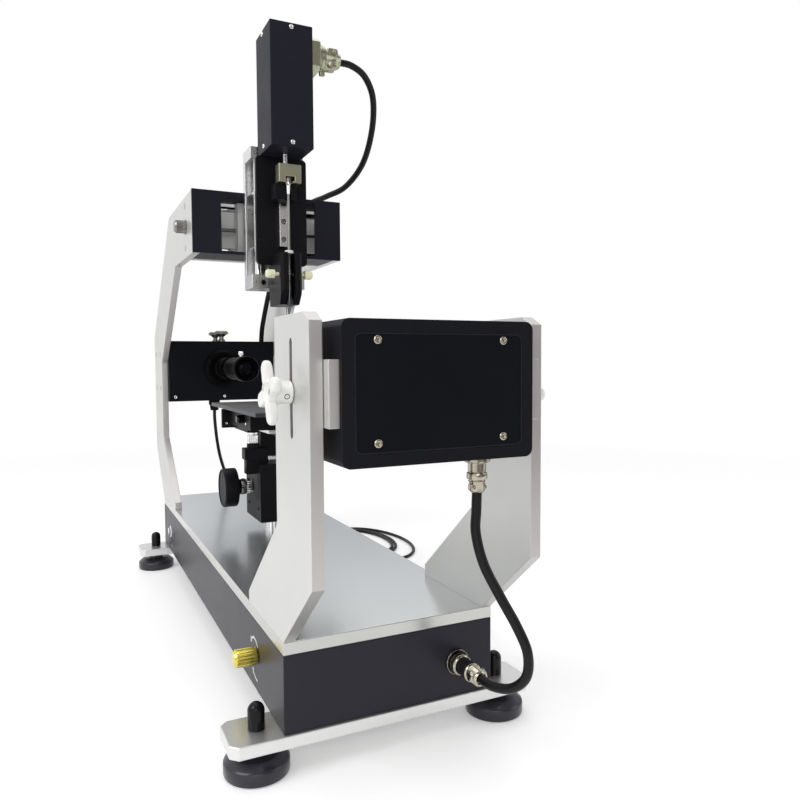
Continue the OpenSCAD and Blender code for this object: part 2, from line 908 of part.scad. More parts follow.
module z_carriage() {
  x = zf_w / 2 - 1;
  color([0.8, 0.81, 0.82])
  placed()
  difference() {
    block([-x, zc_front, zc_z], [x, zf_back - zf_t - 2, zc_z + zc_h]);
    for (s = [-1, 1])
      rod_z(rod_d / 2 + fit, zc_z - 1, zc_z + zc_h + 1, s * zrod_gap / 2, zrod_y);
    rod_z(screw_d / 2 + fit, zc_z - 1, zc_z + zc_h + 1, 0, zrod_y);
  }
}

// Syringe unit

module syringe_plate() {
  color([0.05, 0.05, 0.055])
  placed()
  translate([0, 0, (sp_z0 + sp_z1) / 2])
    sheet_y(sp_y, sp_t) round_rect(sp_w, sp_z1 - sp_z0, sp_r);
}

module syringe_rail() {
  color([0.8, 0.8, 0.8])
  placed()
  difference() {
    block([-rail_w / 2, sp_y - rail_h, rail_z], [rail_w / 2, sp_y, rail_z + rail_l]);
    for (z = [rail_z + 8 : rail_pitch : rail_z + rail_l - 4]) {
      rod_y(1.75, sp_y - rail_h - 1, sp_y + 1, 0, z);
      rod_y(3, sp_y - rail_h - 1, sp_y - 3, 0, z);
    }
  }
}

// Holder with chamfered front corners and a sloped lower front, slotted for the syringe
module syringe_holder() {
  w = hold_w / 2;
  back = sp_y + hold_back;
  slot = barrel_d / 2 + 0.15;
  color([0.06, 0.06, 0.065])
  placed()
  difference() {
    intersection() {
      sheet_x(-w, hold_w)
        polygon([
          [hold_y, hold_z + 16], [syr_y, hold_z], [back, hold_z],
          [back, sp_z0], [sp_y, sp_z0], [sp_y, hold_top], [hold_y, hold_top]
        ]);
      sheet_y(hold_y - 1, 80)
        polygon([
          [1 - w, hold_z], [w - 1, hold_z], [w, hold_z + 16],
          [w, hold_top], [-w, hold_top], [-w, hold_z + 16]
        ]);
      translate([0, 0, hold_z - 1])
        linear_extrude(hold_h + 2)
          polygon([
            [3 - w, hold_y], [w - 3, hold_y], [w, hold_y + 3], [w, back], [-w, back], [-w, hold_y + 3]
          ]);
    }
    rod_z(slot, hold_z - 1, hold_top + 1, 0, syr_y);
    block([-slot, hold_y - 1, hold_z - 1], [slot, syr_y, hold_top + 1]);
    rod_x(thumb_shank / 2 + fit, -w - 1, w + 1, syr_y, thumb_z);
  }
}

// Glass barrel with its finger rim, cemented hub and needle
module syringe() {
  r = barrel_d / 2;
  z = hold_top + 3 - barrel_l;
  color([0.85, 0.9, 0.92])
  placed()
  translate([0, syr_y, 0])
  difference() {
    rotate_extrude()
      polygon([
        [0, z - 15 - needle_l], [0.5, z - 15 - needle_l], [0.5, z - 15], [1.6, z - 15],
        [2.2, z - 8], [r - 0.4, z - 6], [r - 0.4, z], [r, z], [r, hold_top],
        [r + 3, hold_top], [r + 3, hold_top + 3], [0, hold_top + 3]
      ]);
    translate([0, 0, z + 2]) cylinder(r = barrel_bore / 2, h = barrel_l);
  }
}

module plunger() {
  z = hold_top + 3 - barrel_l;
  color([0.78, 0.78, 0.78])
  placed()
  translate([0, syr_y, 0])
    rotate_extrude()
      polygon([
        [0, z + 60], [barrel_bore / 2 - fit, z + 60], [barrel_bore / 2 - fit, z + 66],
        [plunger_d / 2, z + 66], [plunger_d / 2, pc_z - 8], [plunger_d / 2 + 0.9, pc_z + 2],
        [4.5, pc_z + 2.2], [4.5, pc_z + 6.2], [0, pc_z + 6.2]
      ]);
}

// Rail carriage with the pusher block that the feed rod ends in
module pusher() {
  g = rail_w / 2 + gap;
  y1 = sp_y - 2;
  y2 = sp_y - 10;
  color([0.06, 0.06, 0.065])
  placed()
  difference() {
    union() {
      block([-10, y2, push_z], [10, y1, push_z + 30]);
      block([-15, syr_y - 1, push_z], [9, y2, push_z + 17]);
      block([-10, syr_y + 5, push_z + 17], [10, y2, push_z + 34]);
    }
    block([-g, sp_y - rail_h - gap, push_z - 1], [g, y1 + 1, push_z + 31]);
    rod_z(feed_d / 2, push_z + 5, push_z + 35, 0, feed_y);
    block([-3, syr_y - 3, push_z - 1], [3, syr_y + 3, push_z + 18]);
  }
}

module plunger_clamp() {
  w = pc_w / 2;
  y0 = syr_y - 9;
  y1 = syr_y + 5;
  color([0.72, 0.71, 0.66])
  placed()
  difference() {
    block([-w, y0, pc_z], [w, y1, pc_z + pc_h]);
    block([-5, y0 - 1, pc_z + 2], [5, y1 - 0.3, pc_z + 6.6]);
    block([-3, y0 - 1, pc_z - 1], [3, syr_y + 3, pc_z + 3]);
  }
}

module feed_screw() {
  color([0.76, 0.76, 0.76])
  placed()
  rod_z(feed_d / 2, push_z + 5, sp_z1 + feed_in, 0, feed_y);
}

module thumbscrew() {
  color([0.9, 0.87, 0.7]) {
    translate([0, 0, hold_w / 2 + 5]) knurled(thumb_d / 2, thumb_l, 14);
    translate([0, 0, barrel_d / 2 + 0.5])
      cylinder(d = thumb_shank, h = hold_w / 2 + 6 - barrel_d / 2);
  }
}

module thumb_l() {
  placed() translate([0, syr_y, thumb_z]) rotate([0, -90, 0]) thumbscrew();
}

module thumb_r() {
  placed() translate([0, syr_y, thumb_z]) rotate([0, 90, 0]) thumbscrew();
}

module motor_box() {
  color([0.06, 0.06, 0.07])
  placed()
  difference() {
    block([-mb_w / 2, mb_y, sp_z1], [mb_w / 2, mb_y + mb_d, sp_z1 + mb_h]);
    rod_z(feed_d / 2 + fit, sp_z1 - 1, sp_z1 + feed_in + 20, 0, feed_y);
  }
}

// Square flange, coupling ring and saddle clamp of the motor cable's connector
module motor_jack() {
  color([0.68, 0.66, 0.58])
  placed()
  translate([mb_w / 2, mb_y + mb_d / 2, sp_z1 + mb_h - 19.5])
    rotate([0, 90, 0]) {
      linear_extrude(3.5) round_rect(34, 34, 3);
      translate([0, 0, 3]) linear_extrude(14) fluted(17, 36, 1.3);
      translate([0, 0, 16]) cylinder(r1 = 15, r2 = 13.5, h = 10.5);
      translate([0, 0, 26]) cylinder(r = 8.5, h = 14.5);
      for (s = [-1, 1])
        translate([s * 6, 0, 32.5]) cube([8, 21, 11], center = true);
    }
}

// Camera

module camera_box() {
  mid_y = cam_y + cam_d / 2;
  color([0.05, 0.05, 0.06])
  placed()
  difference() {
    union() {
      block([-inner_x, cam_y, cam_z0], [inner_x, cam_y + cam_d, cam_z1]);
      translate([-11, cam_y + 16, cam_z0 - 16]) cylinder(r1 = 6, r2 = 7.5, h = 10);
      translate([-11, cam_y + 16, cam_z0 - 7]) cylinder(r = 8.5, h = 8);
    }
    for (s = [-1, 1])
      rod_z(2.5 + fit, cam_z1 - 12, cam_z1 + 1, 2, mid_y + s * cs_gap / 2);
    translate([inner_x - 14, cam_y + 21, cam_z1 - 10])
      linear_extrude(11) round_rect(22, 14, 6);
  }
}

module lens_mount() {
  f = flange_d / 2;
  color([0.04, 0.04, 0.045])
  placed()
  translate([0, cam_y, optic_z])
    rotate([90, 0, 0])
      rotate_extrude()
        polygon([
          [lens_d * 0.4 + fit, 0], [f, 0], [f, flange_t - 3], [f - 3, flange_t],
          [lens_d * 0.4 + fit, flange_t]
        ]);
}

// Stepped lens tube with focus ring, front ring and lock screw
module lens_barrel() {
  r = lens_d / 2;
  color([0.03, 0.03, 0.035])
  placed()
  translate([0, lens_y - gap, optic_z])
    rotate([90, 0, 0]) {
      difference() {
        rotate_extrude()
          polygon([
            [0, -flange_t + 1], [lens_d * 0.4, -flange_t + 1], [lens_d * 0.4, 0], [r - 1, 0],
            [r - 1, 14], [r - 3.5, 16], [r - 3.5, 44], [r - 1.5, 46], [r - 1.5, 74],
            [r - 2.5, 76], [r - 2.5, lens_l - 24], [r, lens_l - 22], [r, lens_l - 1],
            [r - 1, lens_l], [0, lens_l]
          ]);
        translate([0, 0, lens_l - 9]) cylinder(r1 = r - 7, r2 = r - 2.5, h = 9.1);
      }
      translate([0, 0, lens_l - 34]) rotate([-90, 0, 0]) {
        cylinder(r = 2, h = r + 3);
        translate([0, 0, r + 2]) cylinder(r = 3.5, h = 5);
      }
    }
}

// Knurled clamp screw that stands in the top of the camera box
module camera_screw(y) {
  c = cs_d / 2;
  color([0.7, 0.69, 0.66])
  placed()
  translate([2, y, cam_z1]) {
    rotate_extrude()
      polygon([
        [0, -11], [2.5, -11], [2.5, gap], [5.5, gap], [5.5, 3],
        [3.5, 4], [3.5, 7.5], [c - 2, 11.5], [0, 11.5]
      ]);
    translate([0, 0, 11.5]) linear_extrude(4) fluted(c, 32, 0.9);
    translate([0, 0, 15.5]) cylinder(r1 = c - 1, r2 = c - 2.5, h = 1.4);
  }
}

module camera_screw_f() {
  camera_screw(cam_y + cam_d / 2 - cs_gap / 2);
}

module camera_screw_r() {
  camera_screw(cam_y + cam_d / 2 + cs_gap / 2);
}

// Sample stage

module stage_post() {
  color([0.85, 0.85, 0.86])
  placed()
  rod_z(post_d / 2, deck_z, deck_z + post_h, 0, post_y);
}

// Lower block round the post, side bracket, upper guide and arm
module lift_body() {
  w = lift_w / 2;
  y0 = post_y - lift_d / 2 + 5;
  y1 = post_y + lift_d / 2 + 5;
  z1 = lift_z + lift_h;
  front = syr_y - 30;
  color([0.07, 0.07, 0.075])
  placed()
  difference() {
    union() {
      block([-w, y0, lift_z], [w, y1, z1]);
      block([thimble_x - 10, lock_y - 6, z1 - 12], [-9, lock_y + 6, lock_z - 18]);
      block([thimble_x - 12, lock_y - 8, lock_z - 18.5], [-9, lock_y + 8, lock_z - 5]);
      rod_z(thimble_d / 2 + 0.5, lock_z - 6, lock_z, thimble_x, lock_y);
      block([-w + 4, y0 + 10, z1 + 9], [w, y1 - 6, arm_z + 1]);
      block([-nose_w / 2, front, arm_z], [nose_w / 2, y1, arm_z + arm_t]);
      block([-arm_w / 2, y0 + 2, arm_z], [arm_w / 2, y1, arm_z + arm_t]);
      block([-key_w / 2, front, arm_z + arm_t - 1], [key_w / 2, y1, arm_z + arm_t + arm_key]);
    }
    rod_z(post_d / 2 + fit, lift_z - 1, arm_z + arm_t + 4, 0, post_y);
    rod_x(axle_d / 2 + fit, -w - 3, w - 4, axle_y, axle_z);
    rod_z(2.5 + fit, lock_z - 13, lock_z + 1, thimble_x, lock_y);
  }
}

// Disc knob, knurled tension ring and axle
module lift_knob() {
  w = lift_w / 2;
  color([0.05, 0.05, 0.055])
  placed()
  translate([0, axle_y, axle_z])
    rotate([0, -90, 0]) {
      translate([0, 0, 5 - w]) cylinder(d = axle_d, h = 2 * w);
      translate([0, 0, w + gap]) linear_extrude(14) fluted(9.8, 24, 1);
      translate([0, 0, w + gap + 14]) cylinder(r1 = 9, r2 = 13, h = 5);
      translate([0, 0, w + gap + 19]) cylinder(d = lk_d, h = lk_t - 1.5);
      translate([0, 0, w + gap + 17.5 + lk_t]) cylinder(r1 = lk_d / 2, r2 = lk_d / 2 - 1.5, h = 1.5);
    }
}

module lift_lock() {
  color([0.82, 0.82, 0.83])
  placed()
  translate([thimble_x, lock_y, lock_z]) {
    translate([0, 0, -12]) cylinder(r = 2.5, h = 14);
    translate([0, 0, gap]) linear_extrude(arm_z - lock_z - 2 * gap) fluted(thimble_d / 2, 24, 0.9);
  }
}

// Tray that slides front to back on the arm, with front and left walls and a wide rear wall
module stage_mid() {
  x = mid_w / 2;
  k = key_w / 2;
  low = mid_z + slip_t;
  top = table_z - 1;
  color([0.06, 0.06, 0.065])
  placed()
  difference() {
    union() {
      block([-x, mid_y0, low], [x, mid_y1, mid_z + mid_t]);
      block([-x, mid_y0, low], [x, mid_y0 + lug_w, top]);
      block([-x, mid_y0, low], [lug_w - x, mid_y1, top]);
      block([-wall_w / 2, mid_y1 - wall_t, mid_z], [wall_w / 2, mid_y1, top]);
      block([lug_w + 6 - x, syr_y - k, mid_z + mid_t - 1], [x - 1, syr_y + k, mid_z + mid_t + mid_key]);
    }
    arm_groove();
    rod_x(adjust_d / 2 + fit, -x - 1, lug_w + 1 - x, adjust_y, adjust_z);
  }
}

// Groove that runs on the arm's key
module arm_groove() {
  k = key_w / 2 + gap;
  block([-k, mid_y0 - 1, mid_z - 1], [k, mid_y1 + 1, mid_z + arm_key]);
}

// Bright plate under the tray
module stage_slide() {
  color([0.8, 0.81, 0.82])
  placed()
  difference() {
    block([-slip_w / 2, mid_y0, mid_z], [slip_w / 2, mid_y1 - wall_t, mid_z + slip_t]);
    arm_groove();
  }
}

// Carriage that slides left to right, with the square table on it
module table() {
  x = cart_w / 2;
  y = syr_y + 2 - cart_l / 2;
  k = key_w / 2;
  color([0.09, 0.09, 0.1])
  placed()
  difference() {
    union() {
      block([-x, y, top_z], [x, y + cart_l, table_z]);
      block([-table_w / 2, syr_y - table_l / 2, table_z],
            [table_w / 2, syr_y + table_l / 2, table_z + table_t]);
    }
    block([-x - 1, syr_y - k - gap, top_z - 1], [x + 1, syr_y + k + gap, top_z + mid_key + gap]);
    rod_x(adjust_d / 2 + fit, -x - 1, x - 20, adjust_y, adjust_z);
  }
}

module table_knob() {
  x = mid_w / 2;
  color([0.82, 0.82, 0.83])
  placed()
  translate([0, adjust_y, adjust_z])
    rotate([0, -90, 0]) {
      translate([0, 0, 5]) cylinder(d = adjust_d, h = x - 3);
      translate([0, 0, x + gap]) knurled(xk_d / 2, 7, 20);
    }
}

// Cords

light_path = [
  [40, -58, 179.7], [39.5, -58, 166], [38.5, -59, 150], [42, -64, 128], [51, -72, 105],
  [60, -80, 84], [66, -85, 65], [67, -82, 46], [63, -69, 33], [57.5, -53, 29], [56, -39, 29]
];

module light_cable() {
  color([0.04, 0.04, 0.045])
  placed()
  tube(route(light_path, 3), 7.5, 10, [0, 0, -1], [0, 1, 0], [0, -1, 0]);
}

motor_path = [
  [64, 274.5, 614.5], [80, 275, 613.5], [99, 281, 606], [115, 295, 588], [124, 320, 559],
  [124, 350, 527], [114, 385, 505], [98, 415, 497], [84, 450, 491], [75, 500, 470],
  [72, 550, 435], [69, 595, 390], [67, 630, 342], [67, 642, 320], [67, 645, 299]
];

module motor_cable() {
  color([0.04, 0.04, 0.045])
  placed()
  tube(route(motor_path, 3), 7.5, 10, [1, 0, 0], [0, 0, -1], [0, 0, 1]);
}

camera_path = [
  [-11, 640, 201], [-11, 640, 188], [-9.5, 641, 170], [-7, 643, 150], [-2, 647, 125],
  [8, 655, 95], [22, 666, 60], [40, 678, 26], [62, 689, -4], [88, 694, -24.5],
  [116, 688, -28.9], [139, 671, -29.4], [155, 648, -29.4], [164, 620, -29.4], [168, 590, -29.4]
];

module camera_cable() {
  color([0.05, 0.05, 0.055])
  placed()
  tube(route(camera_path, 4), 5, 8, [0, 0, -1], [0, -1, 0], [1, 0, 0]);
}

// Flat oval coil: one loose outer turn, then close turns that wind inwards at a steady rate
coil_d = 5;
coil_turns = 3;
coil_pitch = 6.2;
coil_tuck = 14;
coil_mid = [240, 590, -29.4];
coil_rx = 72;
coil_ry = 120;
coil_slack = [20, 30];
coil_shift = [-13, 23, 0];
function coil_at(a) =
  let (u = min(a, 360) / 360)
  let (t = max(0, a - 360 * coil_turns + 120) / 120)
  let (s = coil_pitch * max(0, a - 360) / 360 + coil_tuck / 2 * (1 - cos(180 * t)))
  let (rx = coil_rx - coil_slack[0] * u - s)
  let (ry = coil_ry - coil_slack[1] * u - s)
  coil_mid + u * coil_shift + [-rx * cos(a), -ry * sin(a), 1.1 * (1 - cos(180 * t))];
coil_path = [for (i = [0 : 24 * coil_turns]) coil_at(15 * i)];
coil_gap = min([
  for (i = [0 : 24 * (coil_turns - 1)], j = [20 : 28])
    if (i + j <= 24 * coil_turns) norm(coil_path[i] - coil_path[i + j])
]) - coil_d;
echo(least_gap_in_coil = coil_gap, coil_length = path_length(coil_path));
echo(light = path_length(route(light_path, 3)), motor = path_length(route(motor_path, 3)));
echo(camera = path_length(route(camera_path, 4)));

module camera_coil() {
  color([0.05, 0.05, 0.055])
  placed()
  tube(coil_path, coil_d, 6, [0, -1, 0], [0, -1, 0], [0, 0, 1]);
}

module usb_plug() {
  e = coil_path[24 * coil_turns];
  color([0.6, 0.6, 0.62])
  placed()
  translate(e)
    rotate([90, 0, 0]) {
      cylinder(r1 = 2.6, r2 = 4.5, h = 14);
      translate([0, 0, 14 + 11]) cube([13, 9, 22], center = true);
      translate([0, 0, 36 + 5.5]) cube([12, 4.5, 12], center = true);
    }
}

base_body();
top_plate();
foot_bars();
upright_l();
upright_r();
rear_plate_l();
rear_plate_r();
slide_cover();
slide_back();
slide_rods();
camera_box();
lens_mount();
stage_post();
base_jack();
foot_fl();
foot_fr();
foot_rl();
foot_rr();
light_box();
light_panel();
light_window();
light_blocks();
box_jack();
star_knob_l();
star_knob_r();
light_cable();
cross_screw();
cross_carriage();
z_frame();
z_rods();
z_screw();
z_carriage();
syringe_plate();
syringe_rail();
syringe_holder();
syringe();
motor_box();
motor_jack();
motor_cable();
thumb_l();
thumb_r();
pusher();
plunger_clamp();
plunger();
feed_screw();
lens_barrel();
camera_screw_f();
camera_screw_r();
lift_body();
lift_knob();
lift_lock();
stage_mid();
stage_slide();
table();
table_knob();
brightness_knob();
power_button();
camera_cable();
camera_coil();
usb_plug();
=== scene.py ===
import bmesh
import bpy
import json
import math
from mathutils import Matrix, Vector

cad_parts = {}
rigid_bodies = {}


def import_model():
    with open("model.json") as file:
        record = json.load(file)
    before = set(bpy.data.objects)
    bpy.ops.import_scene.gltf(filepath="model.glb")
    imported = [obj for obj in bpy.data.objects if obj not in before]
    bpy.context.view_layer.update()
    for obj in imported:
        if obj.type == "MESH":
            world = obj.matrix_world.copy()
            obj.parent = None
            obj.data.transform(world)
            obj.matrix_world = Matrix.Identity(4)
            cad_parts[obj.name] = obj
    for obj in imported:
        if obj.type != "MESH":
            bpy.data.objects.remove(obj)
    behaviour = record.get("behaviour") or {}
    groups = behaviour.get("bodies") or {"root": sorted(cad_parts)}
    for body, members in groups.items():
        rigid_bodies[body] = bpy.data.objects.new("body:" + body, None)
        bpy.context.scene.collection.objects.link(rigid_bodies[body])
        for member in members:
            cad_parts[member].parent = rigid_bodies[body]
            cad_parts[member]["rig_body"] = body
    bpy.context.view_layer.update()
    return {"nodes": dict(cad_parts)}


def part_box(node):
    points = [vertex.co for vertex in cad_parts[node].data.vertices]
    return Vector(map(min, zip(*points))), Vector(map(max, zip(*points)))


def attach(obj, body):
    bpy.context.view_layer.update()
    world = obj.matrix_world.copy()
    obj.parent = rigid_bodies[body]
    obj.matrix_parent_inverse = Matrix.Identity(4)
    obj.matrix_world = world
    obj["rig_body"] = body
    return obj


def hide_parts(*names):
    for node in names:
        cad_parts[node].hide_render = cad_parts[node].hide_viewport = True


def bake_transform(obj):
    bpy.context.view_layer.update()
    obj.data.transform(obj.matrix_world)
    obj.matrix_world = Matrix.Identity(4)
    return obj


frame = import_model()
scene = bpy.context.scene
mm = 0.001
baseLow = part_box("base_body")[0]
print("frame loaded,", len(frame["nodes"]), "nodes")


def spot(x, y, z):  # millimetres from the front lower edge of the base housing
    return Vector((x * mm, baseLow.y + y * mm, baseLow.z + z * mm))


# camera
cameraView = {"lens": 31.94, "sensor": 36.0, "place": (-233.24, -496.46, 275.0), "yaw": 25.743,
              "pitch": 3.058, "roll": 0.344}


def placeCamera(view):
    yaw, pitch, roll = (math.radians(view[k]) for k in ("yaw", "pitch", "roll"))
    ahead = Vector((math.sin(yaw) * math.cos(pitch), math.cos(yaw) * math.cos(pitch), -math.sin(pitch)))
    right = Vector((math.cos(yaw), -math.sin(yaw), 0.0))
    down = ahead.cross(right)
    across = right * math.cos(roll) + down * math.sin(roll)
    below = down * math.cos(roll) - right * math.sin(roll)
    lensData = bpy.data.cameras.new("photoCamera")
    lensData.lens = view["lens"]
    lensData.sensor_width = view["sensor"]
    lensData.clip_start = 0.01
    camera = bpy.data.objects.new("photoCamera", lensData)
    scene.collection.objects.link(camera)
    turn = Matrix((across, -below, -ahead)).transposed().to_4x4()
    camera.matrix_world = Matrix.Translation(spot(*view["place"])) @ turn
    scene.camera = camera


placeCamera(cameraView)
print("camera placed")


# shared effects
colourKind, numberKind, vectorKind = "NodeSocketColor", "NodeSocketFloat", "NodeSocketVector"


def newGroup(name, inputs, outputs):
    tree = bpy.data.node_groups.new(name, "ShaderNodeTree")
    for label, kind, start in inputs:
        socket = tree.interface.new_socket(name=label, in_out="INPUT", socket_type=kind)
        socket.default_value = start
    for label, kind in outputs:
        tree.interface.new_socket(name=label, in_out="OUTPUT", socket_type=kind)
    return tree, tree.nodes.new("NodeGroupInput"), tree.nodes.new("NodeGroupOutput")


def addNode(tree, kind, **values):
    node = tree.nodes.new(kind)
    for key, value in values.items():
        setattr(node, key, value)
    return node


def feed(tree, value, socket):  # a link, or a plain value
    if hasattr(value, "node"):
        tree.links.new(value, socket)
    elif socket.type == "RGBA":
        socket.default_value = (*value, 1.0)
    else:
        socket.default_value = value


def spread(tree, source, low, high, toLow=0.0, toHigh=1.0):
    node = addNode(tree, "ShaderNodeMapRange")
    tree.links.new(source, node.inputs["Value"])
    for label, value in (("From Min", low), ("From Max", high), ("To Min", toLow), ("To Max", toHigh)):
        feed(tree, value, node.inputs[label])
    return node.outputs["Result"]


def mixColours(tree, factor, first, second):
    node = addNode(tree, "ShaderNodeMix", data_type="RGBA")
    tree.links.new(factor, node.inputs["Factor"])
    feed(tree, first, node.inputs["A"])
    feed(tree, second, node.inputs["B"])
    return node.outputs["Result"]


def combine(tree, operation, first, second):  # two values from 0 to 1
    node = addNode(tree, "ShaderNodeMath", operation=operation, use_clamp=True)
    feed(tree, first, node.inputs[0])
    feed(tree, second, node.inputs[1])
    return node.outputs[0]


def multiply(tree, first, second):
    return combine(tree, "MULTIPLY", first, second)


def vectorNode(tree, operation, *values):
    node = addNode(tree, "ShaderNodeVectorMath", operation=operation)
    for value, socket in zip(values, node.inputs):
        feed(tree, value, socket)
    return node


def partsOf(tree, vector):
    node = addNode(tree, "ShaderNodeSeparateXYZ")
    tree.links.new(vector, node.inputs[0])
    return node.outputs


def placeIn(tree):  # the piece's own coordinates
    return addNode(tree, "ShaderNodeTexCoord").outputs["Object"]


def rampOf(tree, source, stops):
    node = addNode(tree, "ShaderNodeValToRGB")
    tree.links.new(source, node.inputs["Fac"])
    band = node.color_ramp
    band.elements[0].color, band.elements[1].color = (*stops[0][1], 1), (*stops[-1][1], 1)
    for place, colour in stops[1:-1]:
        band.elements.new(place).color = (*colour, 1)
    return node.outputs["Color"]


def noiseOf(tree, vector, scale, detail=3.0, rough=0.55):
    node = addNode(tree, "ShaderNodeTexNoise")
    for label, value in (("Vector", vector), ("Scale", scale), ("Detail", detail), ("Roughness", rough)):
        feed(tree, value, node.inputs[label])
    return node.outputs["Fac"]


def makeToneDrift():  # slow patches of a second tone
    tree, inside, outside = newGroup(
        "toneDrift",
        [("Tone", colourKind, (0.5, 0.5, 0.5, 1)), ("Second Tone", colourKind, (0.4, 0.4, 0.4, 1)),
         ("Patch Scale", numberKind, 10.0), ("Fine Scale", numberKind, 300.0)],
        [("Colour", colourKind)])
    place = placeIn(tree)
    wide = spread(tree, noiseOf(tree, place, inside.outputs["Patch Scale"]), 0.32, 0.68)
    fine = spread(tree, noiseOf(tree, place, inside.outputs["Fine Scale"], 2.0), 0.25, 0.75, 0.25, 0.75)
    both = combine(tree, "ADD", multiply(tree, wide, 0.6), multiply(tree, fine, 0.4))
    tree.links.new(mixColours(tree, both, inside.outputs["Tone"], inside.outputs["Second Tone"]),
                   outside.inputs["Colour"])
    return tree


def makeSurfaceGrain():  # fine grain, stretched into lines where the stretch is uneven
    tree, inside, outside = newGroup(
        "surfaceGrain",
        [("Grain Scale", numberKind, 1200.0), ("Stretch", vectorKind, (1, 1, 1)),
         ("Smooth", numberKind, 0.3), ("Rough", numberKind, 0.5)],
        [("Height", numberKind), ("Roughness", numberKind)])
    place = placeIn(tree)
    pulled = vectorNode(tree, "MULTIPLY", place, inside.outputs["Stretch"]).outputs["Vector"]
    fine = noiseOf(tree, pulled, inside.outputs["Grain Scale"], 4.0, 0.6)
    wide = noiseOf(tree, place, 28.0, 3.0)
    tree.links.new(fine, outside.inputs["Height"])
    mean = combine(tree, "ADD", multiply(tree, fine, 0.5), multiply(tree, wide, 0.5))
    tree.links.new(spread(tree, mean, 0.3, 0.7, inside.outputs["Smooth"], inside.outputs["Rough"]),
                   outside.inputs["Roughness"])
    return tree


def makeEdgeRubAndHighlight():  # bright or pale rub along the outer edges: partly wear, partly a painted highlight on the edge lines
    tree, inside, outside = newGroup(
        "edgeRubAndHighlight",
        [("Colour", colourKind, (0.5, 0.5, 0.5, 1)), ("Edge Tone", colourKind, (0.8, 0.8, 0.8, 1)),
         ("Width", numberKind, 0.0006), ("Amount", numberKind, 0.5)],
        [("Colour", colourKind), ("Normal", vectorKind)])
    rounded = addNode(tree, "ShaderNodeBevel", samples=4)
    tree.links.new(inside.outputs["Width"], rounded.inputs["Radius"])
    plain = addNode(tree, "ShaderNodeNewGeometry")
    dot = vectorNode(tree, "DOT_PRODUCT", rounded.outputs["Normal"], plain.outputs["Normal"])
    edge = spread(tree, dot.outputs["Value"], 0.995, 0.86)
    broken = spread(tree, noiseOf(tree, placeIn(tree), 160.0, 4.0), 0.35, 0.62, 0.25, 1.0)
    mask = multiply(tree, multiply(tree, edge, broken), inside.outputs["Amount"])
    tree.links.new(rounded.outputs["Normal"], outside.inputs["Normal"])
    tree.links.new(mixColours(tree, mask, inside.outputs["Colour"], inside.outputs["Edge Tone"]),
                   outside.inputs["Colour"])
    return tree


def makeDustFilm():  # thin pale film on faces that look up
    tree, inside, outside = newGroup(
        "dustFilm",
        [("Colour", colourKind, (0.05, 0.05, 0.05, 1)), ("Dust Tone", colourKind, (0.45, 0.44, 0.42, 1)),
         ("Amount", numberKind, 0.05)],
        [("Colour", colourKind)])
    normal = addNode(tree, "ShaderNodeNewGeometry").outputs["Normal"]
    up = spread(tree, partsOf(tree, normal)["Z"], 0.4, 1.0)
    speck = spread(tree, noiseOf(tree, placeIn(tree), 420.0, 5.0, 0.7), 0.35, 0.7)
    mask = multiply(tree, multiply(tree, up, speck), inside.outputs["Amount"])
    tree.links.new(mixColours(tree, mask, inside.outputs["Colour"], inside.outputs["Dust Tone"]),
                   outside.inputs["Colour"])
    return tree


def makeSawnSidesAndShade():  # cut sides of a plate darker than its large faces: partly a duller finish, partly painted shade
    tree, inside, outside = newGroup(
        "sawnSidesAndShade",
        [("Colour", colourKind, (0.5, 0.5, 0.5, 1)), ("Side Tone", colourKind, (0.4, 0.4, 0.4, 1)),
         ("Face Axis", vectorKind, (0, 0, 1))],
        [("Colour", colourKind)])
    normal = addNode(tree, "ShaderNodeTexCoord").outputs["Normal"]
    dot = vectorNode(tree, "DOT_PRODUCT", normal, inside.outputs["Face Axis"])
    flat = addNode(tree, "ShaderNodeMath", operation="ABSOLUTE")
    tree.links.new(dot.outputs["Value"], flat.inputs[0])
    tree.links.new(mixColours(tree, spread(tree, flat.outputs[0], 0.4, 0.9), inside.outputs["Side Tone"],
                              inside.outputs["Colour"]), outside.inputs["Colour"])
    return tree


toneDrift, surfaceGrain = makeToneDrift(), makeSurfaceGrain()
edgeRubAndHighlight, dustFilm, sawnSidesAndShade = makeEdgeRubAndHighlight(), makeDustFilm(), makeSawnSidesAndShade()


def placeGroup(tree, group, **values):
    node = addNode(tree, "ShaderNodeGroup", node_tree=group)
    for label, value in values.items():
        feed(tree, value, node.inputs[label.replace("_", " ")])
    return node


